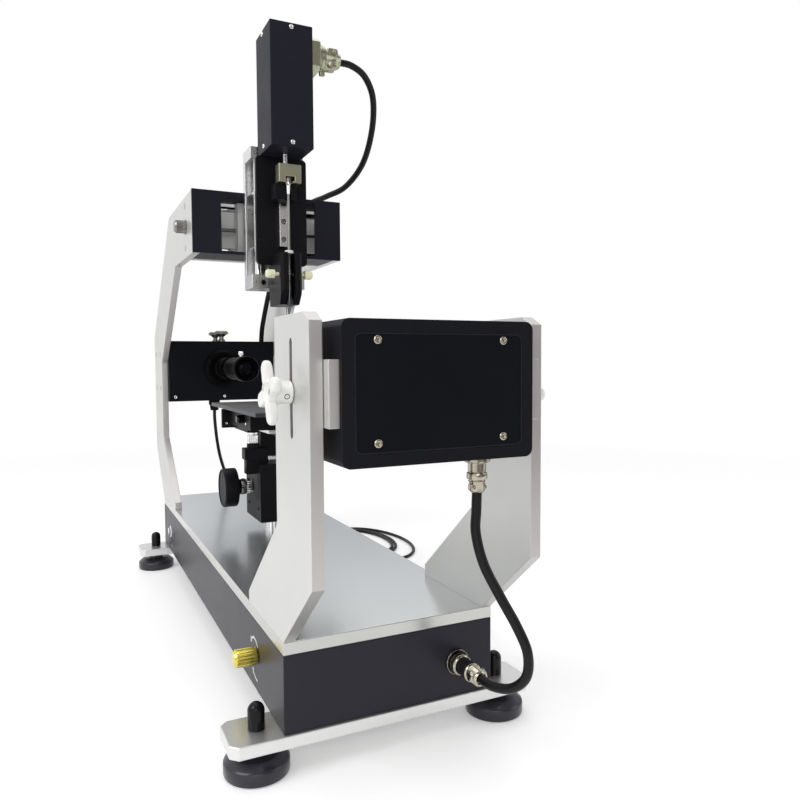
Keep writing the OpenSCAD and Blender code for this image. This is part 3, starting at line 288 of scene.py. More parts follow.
def finishOf(name, look):
    material = bpy.data.materials.new(name)
    material.use_nodes = True
    tree = material.node_tree
    shader = tree.nodes["Principled BSDF"]
    drift = placeGroup(tree, toneDrift, Tone=look["tone"], Second_Tone=look["second"],
                       Patch_Scale=look.get("patch", 12.0), Fine_Scale=look.get("fleck", 320.0))
    colour = drift.outputs["Colour"]
    bump = addNode(tree, "ShaderNodeBump")
    # side tone: cut sides darker, partly a duller finish and partly painted shade
    if look.get("side"):
        sides = placeGroup(tree, sawnSidesAndShade, Colour=colour, Side_Tone=look["side"], Face_Axis=look["faceAxis"])
        colour = sides.outputs["Colour"]
    # edge rub: lighter edges, partly wear and partly a painted highlight
    if look.get("rubAndHighlightAmount"):
        rub = placeGroup(tree, edgeRubAndHighlight, Colour=colour, Edge_Tone=look["edge"],
                         Width=look.get("edgeWidth", 0.6) * mm, Amount=look["rubAndHighlightAmount"])
        colour = rub.outputs["Colour"]
        tree.links.new(rub.outputs["Normal"], bump.inputs["Normal"])
    if look.get("dust"):
        film = placeGroup(tree, dustFilm, Colour=colour, Amount=look["dust"])
        colour = film.outputs["Colour"]
    tree.links.new(colour, shader.inputs["Base Color"])
    grain = placeGroup(tree, surfaceGrain, Grain_Scale=look.get("grain", 1200.0),
                       Stretch=look.get("stretch", (1, 1, 1)),
                       Smooth=look["rough"][0], Rough=look["rough"][1])
    tree.links.new(grain.outputs["Roughness"], shader.inputs["Roughness"])
    bump.inputs["Strength"].default_value = look.get("bump", 0.1)
    bump.inputs["Distance"].default_value = look.get("depth", 0.05) * mm
    tree.links.new(grain.outputs["Height"], bump.inputs["Height"])
    tree.links.new(bump.outputs["Normal"], shader.inputs["Normal"])
    plain = {"Metallic": look.get("metal", 0.0), "Specular IOR Level": look.get("specular", 0.5),
             "Coat Weight": look.get("coat", 0.0), "Coat Roughness": look.get("coatRough", 0.1),
             "Transmission Weight": look.get("clear", 0.0), "IOR": look.get("ior", 1.5),
             "Subsurface Weight": look.get("soft", 0.0), "Subsurface Radius": (0.004, 0.003, 0.002)}
    for label, value in plain.items():
        shader.inputs[label].default_value = value
    return material


# finishes; their edge tones lighten the edges, partly wear and partly painted highlight, and their side tones
# darken cut sides, partly a duller finish and partly painted shade
plateLook = {"tone": (0.67, 0.675, 0.66), "second": (0.62, 0.625, 0.61), "patch": 7.0, "fleck": 900.0,
             "metal": 0.75, "rough": (0.32, 0.40), "grain": 1800.0, "bump": 0.10, "side": (0.565, 0.55, 0.54),
             "faceAxis": (1, 0, 0), "edge": (0.92, 0.92, 0.91), "edgeWidth": 0.8, "rubAndHighlightAmount": 0.6}
barLook = {"tone": (0.78, 0.785, 0.775), "second": (0.72, 0.725, 0.715), "patch": 7.0, "fleck": 900.0,
           "metal": 0.8, "rough": (0.26, 0.34), "grain": 1800.0, "bump": 0.08, "edge": (0.94, 0.94, 0.93),
           "edgeWidth": 0.8, "rubAndHighlightAmount": 0.6}
deckLook = {"tone": (0.80, 0.815, 0.82), "second": (0.75, 0.765, 0.775), "patch": 5.0, "metal": 0.9,
            "rough": (0.20, 0.27), "grain": 1500.0, "bump": 0.06, "side": (0.54, 0.54, 0.52),
            "faceAxis": (0, 0, 1), "edge": (0.90, 0.91, 0.92), "edgeWidth": 0.8, "rubAndHighlightAmount": 0.6}
paleLook = {"tone": (0.88, 0.885, 0.87), "second": (0.82, 0.825, 0.81), "patch": 9.0, "metal": 0.05,
            "rough": (0.36, 0.46), "grain": 1600.0, "bump": 0.10, "edge": (0.85, 0.85, 0.84),
            "edgeWidth": 0.6, "rubAndHighlightAmount": 0.5}
brushedLook = {"tone": (0.74, 0.745, 0.74), "second": (0.64, 0.645, 0.64), "patch": 16.0, "metal": 1.0,
               "rough": (0.20, 0.34), "grain": 1600.0, "stretch": (1, 1, 0.03), "bump": 0.03,
               "edge": (0.90, 0.90, 0.90), "edgeWidth": 0.6, "rubAndHighlightAmount": 0.6}
chromeLook = {"tone": (0.82, 0.82, 0.83), "second": (0.72, 0.72, 0.73), "patch": 30.0, "metal": 1.0,
              "rough": (0.07, 0.14), "grain": 900.0, "bump": 0.04}
brightLook = {"tone": (0.50, 0.47, 0.385), "second": (0.40, 0.37, 0.30), "patch": 40.0, "metal": 1.0,
              "rough": (0.06, 0.13), "grain": 1100.0, "bump": 0.04, "edge": (0.92, 0.90, 0.84),
              "edgeWidth": 0.3, "rubAndHighlightAmount": 0.5}
nickelLook = {"tone": (0.42, 0.425, 0.315), "second": (0.33, 0.335, 0.24), "patch": 40.0, "metal": 1.0,
              "rough": (0.26, 0.38), "grain": 1400.0, "bump": 0.10, "edge": (0.80, 0.78, 0.70),
              "edgeWidth": 0.4, "rubAndHighlightAmount": 0.5}
dullLook = {"tone": (0.30, 0.295, 0.275), "second": (0.21, 0.205, 0.19), "patch": 40.0, "metal": 1.0,
            "rough": (0.24, 0.38), "grain": 1400.0, "bump": 0.10}
boxLook = {"tone": (0.0060, 0.0068, 0.0098), "second": (0.0048, 0.0055, 0.0080), "patch": 9.0,
           "specular": 0.07, "rough": (0.36, 0.46), "grain": 2600.0, "bump": 0.08,
           "edge": (0.050, 0.052, 0.064), "edgeWidth": 0.5, "rubAndHighlightAmount": 0.4, "dust": 0.006}
bezelLook = {**boxLook, "tone": (0.0105, 0.0110, 0.0140), "second": (0.0085, 0.0090, 0.0115),
             "rough": (0.38, 0.48), "edge": (0.060, 0.062, 0.070), "edgeWidth": 0.6}
hoodLook = {**boxLook, "tone": (0.0165, 0.0172, 0.0255), "second": (0.0135, 0.0140, 0.0210),
            "specular": 0.08, "rough": (0.40, 0.50), "edge": (0.070, 0.072, 0.086)}
blackLook = {"tone": (0.0068, 0.0072, 0.0088), "second": (0.0052, 0.0055, 0.0068), "patch": 14.0,
             "specular": 0.10, "rough": (0.36, 0.48), "grain": 2200.0, "bump": 0.10,
             "edge": (0.060, 0.061, 0.068), "edgeWidth": 0.45, "rubAndHighlightAmount": 0.45, "dust": 0.01}
tableLook = {"tone": (0.030, 0.031, 0.034), "second": (0.022, 0.023, 0.026), "patch": 10.0, "specular": 0.4,
             "rough": (0.34, 0.46), "grain": 2600.0, "bump": 0.12, "edge": (0.16, 0.16, 0.17),
             "edgeWidth": 0.5, "rubAndHighlightAmount": 0.5, "dust": 0.03}
paintLook = {"tone": (0.0200, 0.0192, 0.0290), "second": (0.0165, 0.0158, 0.0245), "patch": 6.0,
             "specular": 0.22, "rough": (0.36, 0.40), "grain": 900.0, "bump": 0.05, "depth": 0.06,
             "edge": (0.10, 0.10, 0.12), "edgeWidth": 0.8, "rubAndHighlightAmount": 0.4, "dust": 0.01}
whiteLook = {"tone": (0.88, 0.88, 0.86), "second": (0.82, 0.82, 0.79), "patch": 30.0, "rough": (0.16, 0.28),
             "grain": 700.0, "bump": 0.05, "soft": 0.06, "edge": (0.88, 0.88, 0.87), "rubAndHighlightAmount": 0.3}
nylonLook = {"tone": (0.88, 0.90, 0.68), "second": (0.82, 0.82, 0.56), "patch": 90.0, "rough": (0.30, 0.44),
             "grain": 900.0, "bump": 0.08, "soft": 0.15}
goldLook = {"tone": (0.82, 0.70, 0.17), "second": (0.68, 0.56, 0.10), "patch": 60.0, "metal": 1.0,
            "rough": (0.14, 0.28), "grain": 1600.0, "bump": 0.10, "edge": (0.96, 0.88, 0.46),
            "edgeWidth": 0.35, "rubAndHighlightAmount": 0.7}
opalLook = {"tone": (0.84, 0.84, 0.82), "second": (0.78, 0.78, 0.76), "patch": 12.0, "rough": (0.40, 0.55),
            "grain": 700.0, "bump": 0.06, "soft": 0.15}
rubberLook = {"tone": (0.017, 0.017, 0.026), "second": (0.021, 0.021, 0.031), "patch": 24.0, "specular": 0.3,
              "rough": (0.26, 0.34), "grain": 1200.0, "bump": 0.03, "coat": 0.35, "coatRough": 0.10}
capLook = {"tone": (0.006, 0.006, 0.008), "second": (0.008, 0.008, 0.010), "patch": 40.0,
           "rough": (0.08, 0.14), "grain": 600.0, "bump": 0.02, "specular": 0.18}
cordLook = {"tone": (0.0048, 0.0048, 0.0054), "second": (0.0072, 0.0072, 0.0078), "patch": 50.0,
            "specular": 0.22, "rough": (0.32, 0.48), "grain": 1500.0, "bump": 0.12, "dust": 0.02}
lensLook = {"tone": (0.0014, 0.0014, 0.0018), "second": (0.0022, 0.0022, 0.0027), "patch": 40.0,
            "specular": 0.20, "rough": (0.08, 0.15), "grain": 2400.0, "bump": 0.03}
mountLook = {"tone": (0.0010, 0.0010, 0.0013), "second": (0.0015, 0.0015, 0.0019), "patch": 40.0,
             "specular": 0.05, "rough": (0.34, 0.48), "grain": 2400.0, "bump": 0.05}
glassLook = {"tone": (0.80, 0.84, 0.85), "second": (0.76, 0.81, 0.82), "patch": 60.0, "rough": (0.01, 0.03),
             "grain": 300.0, "bump": 0.01, "clear": 1.0, "ior": 1.47}
lensGlassLook = {"tone": (0.004, 0.004, 0.007), "second": (0.006, 0.005, 0.008), "patch": 80.0,
                 "rough": (0.02, 0.05), "grain": 300.0, "bump": 0.01, "specular": 0.05}
markLook = {"tone": (0.78, 0.78, 0.76), "second": (0.70, 0.70, 0.68), "patch": 60.0, "rough": (0.45, 0.60),
            "grain": 900.0, "bump": 0.06}
inkLook = {"tone": (0.020, 0.020, 0.022), "second": (0.032, 0.032, 0.034), "patch": 90.0,
           "rough": (0.45, 0.6), "grain": 900.0, "bump": 0.04}

silver = finishOf("silverPlate", plateLook)
deckMetal = finishOf("deckSilver", deckLook)
brushed = finishOf("brushedSilver", brushedLook)
chrome = finishOf("polishedSteel", chromeLook)
nickel = finishOf("satinNickel", nickelLook)
gold = finishOf("goldAnodised", goldLook)
bezelBlack = finishOf("bezelBlack", bezelLook)
barSilver = finishOf("barSilver", barLook)
pale = finishOf("paleSilver", paleLook)
hoodBlack = finishOf("hoodBlack", hoodLook)
bright = finishOf("brightNickel", brightLook)
dull = finishOf("dullNickel", dullLook)
mountBlack = finishOf("mountBlack", mountLook)
boxBlack = finishOf("boxBlack", boxLook)
black = finishOf("blackAnodised", blackLook)
tableBlack = finishOf("tableBlack", tableLook)
basePaint = finishOf("basePaint", paintLook)
whitePlastic = finishOf("whitePlastic", whiteLook)
nylon = finishOf("creamNylon", nylonLook)
opal = finishOf("opalSheet", opalLook)
rubber = finishOf("footRubber", rubberLook)
capGloss = finishOf("capGloss", capLook)
cordBlack = finishOf("cordJacket", cordLook)
lensBlack = finishOf("lensBlack", lensLook)
glass = finishOf("clearGlass", glassLook)
lensGlass = finishOf("coatedGlass", lensGlassLook)
markWhite = finishOf("markWhite", markLook)
markInk = finishOf("markInk", inkLook)
print("finishes made")


# mesh helpers
def addPiece(name, bm, material, body=None, stands=(), smooth=38.0, evened=False):
    bmesh.ops.recalc_face_normals(bm, faces=bm.faces)
    for edge in bm.edges:
        edge.smooth = len(edge.link_faces) == 2 and edge.calc_face_angle(0.0) < math.radians(smooth)
    for face in bm.faces:
        face.smooth = True
    mesh = bpy.data.meshes.new(name)
    bm.to_mesh(mesh)
    bm.free()
    mesh.materials.append(material)
    piece = bpy.data.objects.new(name, mesh)
    scene.collection.objects.link(piece)
    if evened:  # wide faces keep flat shading beside their soft edges
        even = piece.modifiers.new("evenShade", "WEIGHTED_NORMAL")
        even.keep_sharp = True
        even.weight = 100
    if body:
        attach(piece, body)
    if stands:
        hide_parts(*stands)
    return piece


def sidesOf(axis):
    along = Vector(axis).normalized()
    hint = Vector((0, 0, 1)) if abs(along.z) < 0.9 else Vector((0, 1, 0))
    first = hint.cross(along).normalized()
    return first, along.cross(first), along


def joinRings(bm, low, high):  # a ring of one point is a tip
    count = max(len(low), len(high))
    if count == 1:
        return
    for i in range(count):
        j = (i + 1) % count
        if len(low) == 1:
            bm.faces.new((low[0], high[j], high[i]))
        elif len(high) == 1:
            bm.faces.new((low[i], low[j], high[0]))
        else:
            bm.faces.new((low[i], low[j], high[j], high[i]))


def lathe(bm, place, axis, profile, steps=48, shape=None, closed=False):
    # profile: (radius, height along the axis[, share of the shape]) in millimetres
    first, second, along = sidesOf(axis)
    rings = []
    for entry in profile:
        radius, height = entry[0], entry[1]
        share = entry[2] if len(entry) > 2 else 0.0
        middle = place + along * (height * mm)
        if radius < 1e-6:
            rings.append([bm.verts.new(middle)])
            continue
        ring = []
        for i in range(steps):
            angle = 2 * math.pi * i / steps
            reach = radius if not share else radius + share * (shape(angle, radius) - radius)
            off = first * math.cos(angle) + second * math.sin(angle)
            ring.append(bm.verts.new(middle + off * (reach * mm)))
        rings.append(ring)
    pairs = list(zip(rings, rings[1:]))
    if closed:
        pairs.append((rings[-1], rings[0]))
    for low, high in pairs:
        joinRings(bm, low, high)


def turned(name, material, body, place, axis, profile, steps=48, shape=None, closed=False, stands=(),
           smooth=38.0):
    bm = bmesh.new()
    lathe(bm, place, axis, profile, steps, shape, closed)
    addPiece(name, bm, material, body, stands, smooth)


def hexShape(angle, radius):
    return radius * math.cos(math.pi / 6) / math.cos(angle % (math.pi / 3) - math.pi / 6)


def toothShape(count, depth):
    def shape(angle, radius):
        return radius - depth * abs(math.sin(count * angle / 2)) ** 0.7
    return shape


def plainBlock(bm, low, high, soft=0.0):
    spanX, spanY, spanZ = zip(low, high)
    corners = [bm.verts.new(spot(x, y, z)) for z in spanZ for y in spanY for x in spanX]
    faces = [bm.faces.new([corners[i] for i in order]) for order in
             ((0, 2, 3, 1), (4, 5, 7, 6), (0, 1, 5, 4), (2, 6, 7, 3), (0, 4, 6, 2), (1, 3, 7, 5))]
    if soft:
        edges = list({edge for face in faces for edge in face.edges})
        bmesh.ops.bevel(bm, geom=edges, offset=soft * mm, segments=2, affect="EDGES", profile=0.5)


def capScrew(bm, place, axis, radius, height, socket):  # button head with a hex socket
    lathe(bm, place, axis, [
        (0, -0.4), (radius, -0.4), (radius, height * 0.45), (radius * 0.94, height * 0.75),
        (radius * 0.80, height), (socket * 1.12, height), (socket, height - 0.15, 1),
        (socket * 0.96, height * 0.25, 1), (0, height * 0.2)], steps=24, shape=hexShape)


def sunkScrew(bm, place, axis, radius, socket):  # countersunk head, flush in its plate
    lathe(bm, place, axis, [
        (0, -0.6), (radius * 0.9, -0.6), (radius, 0.12), (radius * 0.94, 0.22), (socket * 1.1, 0.22),
        (socket, 0.12, 1), (socket * 0.95, -0.5, 1), (0, -0.5)], steps=24, shape=hexShape)


# solids of the frame with softened edges: node, edge width in millimetres, finish
softNodes = {
    "base_body": (0.9, basePaint), "top_plate": (0.6, deckMetal), "foot_bars": (0.8, barSilver),
    "upright_l": (0.7, silver), "upright_r": (0.7, silver), "rear_plate_l": (0.7, silver),
    "rear_plate_r": (0.7, silver), "slide_cover": (0.18, hoodBlack), "slide_back": (0.5, pale),
    "camera_box": (0.8, boxBlack), "light_box": (1.4, bezelBlack), "light_panel": (0.4, boxBlack),
    "light_window": (0.4, opal), "light_blocks": (0.4, silver), "cross_carriage": (0.6, pale),
    "z_frame": (0.6, brushed), "z_carriage": (0.6, brushed), "syringe_plate": (0.6, black),
    "syringe_rail": (0.4, brushed), "syringe_holder": (0.6, black), "motor_box": (0.9, hoodBlack),
    "pusher": (0.5, black), "plunger_clamp": (0.7, nickel), "lift_body": (0.8, black),
    "stage_mid": (0.6, black), "stage_slide": (0.4, brushed), "table": (0.5, tableBlack)}
# angles in degrees; edges shorter than so many widths stay sharp
softLimits = {"flat": 0.5, "sharp": 25.0, "shortest": 2.5, "smooth": 50.0}


def softened(node, width, material, limits):
    bm = bmesh.new()
    bm.from_mesh(frame["nodes"][node].data)
    bmesh.ops.remove_doubles(bm, verts=bm.verts, dist=1e-6)
    bmesh.ops.dissolve_limit(bm, angle_limit=math.radians(limits["flat"]), verts=bm.verts, edges=bm.edges)
    hard = [edge for edge in bm.edges if len(edge.link_faces) == 2
            and edge.calc_length() > limits["shortest"] * width * mm
            and edge.calc_face_angle(0.0) > math.radians(limits["sharp"])]
    bmesh.ops.bevel(bm, geom=hard, offset=width * mm, segments=2, affect="EDGES", profile=0.5,
                    clamp_overlap=True)
    addPiece(node + "_shell", bm, material, frame["nodes"][node]["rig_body"], (node,), limits["smooth"], True)


for nodeName, (edgeWidth, nodeFinish) in softNodes.items():
    softened(nodeName, edgeWidth, nodeFinish, softLimits)
print("plates and housings softened")

# solids that stay as they are, with their finish
keptNodes = {"slide_rods": chrome, "z_rods": chrome, "stage_post": chrome, "cross_screw": dull,
             "z_screw": nickel, "thumb_l": nylon, "thumb_r": nylon, "plunger": dull, "camera_screw_f": dull,
             "camera_screw_r": dull, "table_knob": lensBlack, "brightness_knob": gold, "power_button": chrome}
for nodeName, nodeFinish in keptNodes.items():
    solid = frame["nodes"][nodeName].data
    solid.materials.clear()
    solid.materials.append(nodeFinish)

# cords
spanSteps, turnSteps = 8, 48  # points per span of a route, per turn of the coil
lightCord = {"diameter": 7.5, "route": [
    (40, -58, 179.7), (39.5, -58, 166), (38.5, -59, 150), (42, -64, 128), (51, -72, 105),
    (60, -80, 84), (66, -85, 65), (67, -82, 46), (63, -69, 33), (57.5, -53, 29), (56, -39, 29)]}
motorCord = {"diameter": 7.5, "joinAt": 7, "route": [
    (64, 274.5, 614.5), (80, 275, 613.5), (99, 281, 606), (115, 295, 588), (124, 320, 559),
    (124, 350, 527), (114, 385, 505), (98, 415, 497), (84, 450, 491), (75, 500, 470),
    (72, 550, 435), (69, 595, 390), (67, 630, 342), (67, 642, 320), (67, 645, 299)]}
cameraCord = {"diameter": 5.0, "route": [
    (-11, 640, 201), (-11, 640, 188), (-9.5, 641, 170), (-7, 643, 150), (-2, 647, 125),
    (8, 655, 95), (22, 666, 60), (40, 678, 26), (62, 689, -4), (88, 694, -24.5),
    (116, 688, -28.9), (139, 671, -29.4), (155, 648, -29.4), (164, 620, -29.4), (168, 590, -29.4)],
    "coilMiddle": (240, 590, -29.4), "coilX": 72, "coilY": 120, "turns": 3, "pitch": 6.2, "tuck": 14,
    "tuckArc": 120.0, "tuckRise": 1.1, "slack": (20, 30), "shift": (-13, 23, 0)}


def smoothRoute(points, steps):  # even curve through the points, ends mirrored
    points = [Vector(p) for p in points]
    padded = [points[0] * 2 - points[1]] + points + [points[-1] * 2 - points[-2]]
    line = []
    for i in range(1, len(padded) - 2):
        a, b, c, d = padded[i - 1:i + 3]
        for k in range(steps):
            t = k / steps
            line.append(0.5 * (2 * b + (c - a) * t + (2 * a - 5 * b + 4 * c - d) * t ** 2
                               + (3 * b - a - 3 * c + d) * t ** 3))
    return line + [points[-1]]


def coilRoute(cord, perTurn):  # one loose outer turn, then close turns that wind inwards
    middle, shift, last = Vector(cord["coilMiddle"]), Vector(cord["shift"]), 360.0 * cord["turns"]
    line, arc = [], cord["tuckArc"]
    for i in range(1, perTurn * cord["turns"] + 1):
        angle = 360.0 * i / perTurn
        loose = min(angle, 360.0) / 360.0
        wave = 1 - math.cos(math.pi * max(0.0, angle - last + arc) / arc)
        inward = cord["pitch"] * max(0.0, angle - 360.0) / 360.0 + cord["tuck"] / 2 * wave
        reachX = cord["coilX"] - cord["slack"][0] * loose - inward
        reachY = cord["coilY"] - cord["slack"][1] * loose - inward
        turn = math.radians(angle)
        off = Vector((-reachX * math.cos(turn), -reachY * math.sin(turn), cord["tuckRise"] * wave))
        line.append(middle + shift * loose + off)
    return line


def tubeAlong(bm, line, radius, sides=16):
    rings, first = [], None
    for i, point in enumerate(line):
        ahead = (line[min(i + 1, len(line) - 1)] - line[max(i - 1, 0)]).normalized()
        if first is None:
            first = sidesOf(ahead)[0]
        first = (first - ahead * first.dot(ahead)).normalized()
        second = ahead.cross(first)
        ring = []
        for k in range(sides):
            angle = 2 * math.pi * k / sides
            ring.append(bm.verts.new(point + (first * math.cos(angle) + second * math.sin(angle)) * radius))
        rings.append(ring)
    for low, high in zip(rings, rings[1:]):
        joinRings(bm, low, high)
    bm.faces.new(list(reversed(rings[0])))
    bm.faces.new(rings[-1])


def lengthOf(line):
    return sum((b - a).length for a, b in zip(line, line[1:]))


def cordPiece(name, line, diameter):
    bm = bmesh.new()
    tubeAlong(bm, line, diameter * mm / 2)
    return addPiece(name, bm, cordBlack)


lightLine = [spot(*p) for p in smoothRoute(lightCord["route"], spanSteps)]
lightTube = cordPiece("lightCable", lightLine, lightCord["diameter"])
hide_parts("light_cable")
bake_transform(lightTube)

motorLine = [spot(*p) for p in smoothRoute(motorCord["route"], spanSteps)]
cut = motorCord["joinAt"] * spanSteps
upperLine, lowerLine = motorLine[:cut + 1], motorLine[cut:]
upperTube = cordPiece("motorCableUpper", upperLine, motorCord["diameter"])
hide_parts("motor_cable")
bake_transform(upperTube)
lowerTube = cordPiece("motorCableLower", lowerLine, motorCord["diameter"])
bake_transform(lowerTube)

cameraRoute = smoothRoute(cameraCord["route"], spanSteps) + coilRoute(cameraCord, turnSteps)
cameraLine = [spot(*p) for p in cameraRoute]
cameraTube = cordPiece("cameraCable", cameraLine, cameraCord["diameter"])
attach(cameraTube, "frame")
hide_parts("camera_cable", "camera_coil")

plugShape = {"relief": 14.0, "body": (13.0, 9.0, 22.0), "shell": (12.0, 4.5, 12.0), "ribs": 5}


def buildPlug(shape, end):
    x, y, z = (end.x / mm, (end.y - baseLow.y) / mm, (end.z - baseLow.z) / mm)
    width, height, long = shape["body"]
    low, high, relief = z - height / 2, z + height / 2, shape["relief"]
    grip, back = bmesh.new(), y - relief
    ribs = []
    for k in range(shape["ribs"]):
        h, r = relief * k / shape["ribs"], 2.7 + 1.5 * k / shape["ribs"]
        ribs += [(r, h), (r + 0.3, h + 0.4), (r + 0.3, h + 1.6), (r, h + 2.0)]
    lathe(grip, spot(x, y, z), (0, -1, 0), [(0, 0)] + ribs + [(4.4, relief), (0, relief)], 24)
    plainBlock(grip, (x - width / 2, back - long, low), (x + width / 2, back, high), 1.4)
    for k in range(3):  # grip bars on both faces
        mid = back - 6 - 4 * k
        plainBlock(grip, (x - 4, mid - 0.8, low - 0.3), (x + 4, mid + 0.8, high + 0.3), 0.2)
    handle = addPiece("plugGrip", grip, cordBlack, "frame", ("usb_plug",))
    tip, front = bmesh.new(), back - long
    shellW, shellH, shellL = shape["shell"]
    left, right, low, high = x - shellW / 2, x + shellW / 2, z - shellH / 2, z + shellH / 2
    plainBlock(tip, (left, front - shellL, low), (right, front + 0.5, high), 0.4)
    sleeve = addPiece("plugShell", tip, chrome, "frame")
    holes = bmesh.new()
    for side in (-1, 1):
        mid = x + side * 2.9
        plainBlock(holes, (mid - 1.1, front - 7.2, high - 0.3), (mid + 1.1, front - 5.0, high + 0.02), 0.05)
    mouth = front - shellL
    plainBlock(holes, (left + 0.8, mouth - 0.05, low + 0.8), (right - 0.8, mouth + 1.0, high - 0.8), 0.1)
    return handle, sleeve, addPiece("plugHoles", holes, cordBlack, "frame")


plugPieces = buildPlug(plugShape, cameraLine[-1])
print("cords laid:", *(round(lengthOf(line), 3) for line in (lightLine, motorLine, cameraLine)), "m")

# levelling feet
footShape = {"padRadius": 25.0, "padHeight": 11.0, "studRadius": 5.0, "capRadius": 6.5, "top": 53.0,
             "floor": -32.0, "barLow": 22.0, "barTop": 32.0}
footPlaces = {"fl": (-106, 20), "fr": (106, 20), "rl": (-106, 620), "rr": (106, 620)}


def buildFoot(name, place, shape):
    body, floor = "foot_" + name, spot(place[0], place[1], shape["floor"])
    keys = ("padRadius", "padHeight", "studRadius", "capRadius", "top", "barLow", "barTop")
    r, h, s, c, top, low, high = (shape[k] for k in keys)
    dome = [(c * math.cos(a), top - c + c * math.sin(a)) for a in (k * math.pi / 16 for k in range(8))]
    skirt = [(0, high + 0.4), (c - 0.6, high + 0.4), (c, high + 1.0)]
    turned("footPad_" + name, rubber, body, floor, (0, 0, 1), [
        (0, 0.4), (r - 5, 0.4), (r - 4.6, 0), (r - 1.6, 0), (r - 0.4, 0.7), (r, 2.0), (r, h - 1.6),
        (r - 0.5, h - 0.4), (r - 1.6, h + 0.3), (r - 6, h + 4.2), (r - 7.4, h + 4.9), (s + 5.2, h + 5.0),
        (s + 4.6, h + 5.4), (s, h + 5.4), (0, h + 5.4)], 72, stands=("foot_" + name,))
    turned("footStud_" + name, nickel, body, floor, (0, 0, 1), [
        (0, h + 5.2), (s + 3.8, h + 5.2, 1), (s + 4.1, h + 5.7, 1), (s + 4.1, low - 0.9, 1),
        (s + 3.6, low - 0.4, 1), (s, low - 0.4), (s, high + 0.4), (0, high + 0.4)], 48, hexShape)
    turned("footCap_" + name, capGloss, body, floor, (0, 0, 1), skirt + dome + [(0, top)], 48)


for footName, footPlace in footPlaces.items():
    buildFoot(footName, footPlace, footShape)

# star knobs
starShape = {"place": (90, -28.25, 255), "lobes": 4, "reach": 22.8, "web": 9.6, "half": 4.9, "lobeLow": 12.2,
             "top": 18.0, "hub": 8.0, "turn": 20.0, "dish": 8.6}


def buildStar(name, side, shape):
    x, y, z = shape["place"]
    body, place = "star_" + name, spot(side * x, y, z)
    keys = ("lobeLow", "top", "reach", "web", "hub", "dish")
    low, top, reach, web, hub, dish = (shape[k] for k in keys)
    first, second = sidesOf((side, 0, 0))[:2]
    turn = math.radians(shape["turn"])
    lobe = Vector((0, -side * math.sin(turn), math.cos(turn)))
    lean = math.atan2(lobe.dot(second), lobe.dot(first))

    def lobed(angle, radius):
        step, half = 2 * math.pi / shape["lobes"], shape["half"]
        off = abs((angle - lean + step / 2) % step - step / 2)
        middle = reach - half
        if middle * math.tan(off) < half:
            edge = middle * math.cos(off) + math.sqrt(max(0.0, half ** 2 - (middle * math.sin(off)) ** 2))
        else:
            edge = half / math.sin(off)
        return max(web, edge) * radius / reach

    turned("starKnob_" + name, whitePlastic, body, place, (side, 0, 0), [
        (3.1, 0.4), (hub - 0.5, 0.4), (hub, 0.9), (hub, low - 3.0), (web, low - 0.6, 0.2),
        (reach * 0.90, low, 1), (reach * 0.975, low + 0.7, 1), (reach, low + 1.8, 1), (reach, top - 1.8, 1),
        (reach * 0.975, top - 0.7, 1), (reach * 0.92, top - 0.1, 1), (reach * 0.86, top, 1),
        (dish + 1.2, top - 0.9, 0.25), (dish, top - 1.0), (dish - 0.8, top - 1.6), (dish - 2.6, top - 3.6),
        (dish - 3.6, top - 4.0), (3.1, top - 4.0)], 192, lobed, closed=True, stands=("star_knob_" + name,),
        smooth=40.0)
    turned("starStud_" + name, nickel, body, place, (side, 0, 0), [
        (0, -23), (2.4, -23), (3.0, -22.4), (3.0, top - 3.4), (2.4, top - 2.9), (0, top - 2.9)], 32)
    out = Vector((0, -0.94, -0.34))
    seat = place + Vector((side * 5 * mm, 0, 0)) + out * (hub - 0.9) * mm
    turned("starGrub_" + name, lensBlack, body, seat, out, [
        (0, -0.6), (1.9, -0.6), (1.9, 1.0), (1.5, 1.05), (1.45, -0.2), (0, -0.2)], 24)
    turned("starGrubTip_" + name, chrome, body, seat, out, [
        (0, -0.4), (1.0, -0.4), (1.0, 0.3), (0.7, 0.6), (0, 0.7)], 20)


buildStar("l", -1, starShape)
buildStar("r", 1, starShape)
print("feet and star knobs built")

# round cable connectors
baseJack = {"place": (56, 0, 29), "axis": (0, -1, 0), "nut": 10.4, "ring": 8.8, "sleeve": 7.0, "ribs": 5,
            "ribPitch": 2.3, "clamp": 6.4, "long": 39.0}
boxJack = {"place": (40, -58, 204.6), "axis": (0, 0, -1), "nut": 9.8, "body": 6.7, "ring": 7.8, "clamp": 5.6,
           "long": 24.8}
motorJack = {"place": (23.5, 274.5, 614.5), "half": 17.0, "drop": 2.2, "block": 13.5, "neck": 14.0,
             "clamp": 9.2, "long": 40.5}


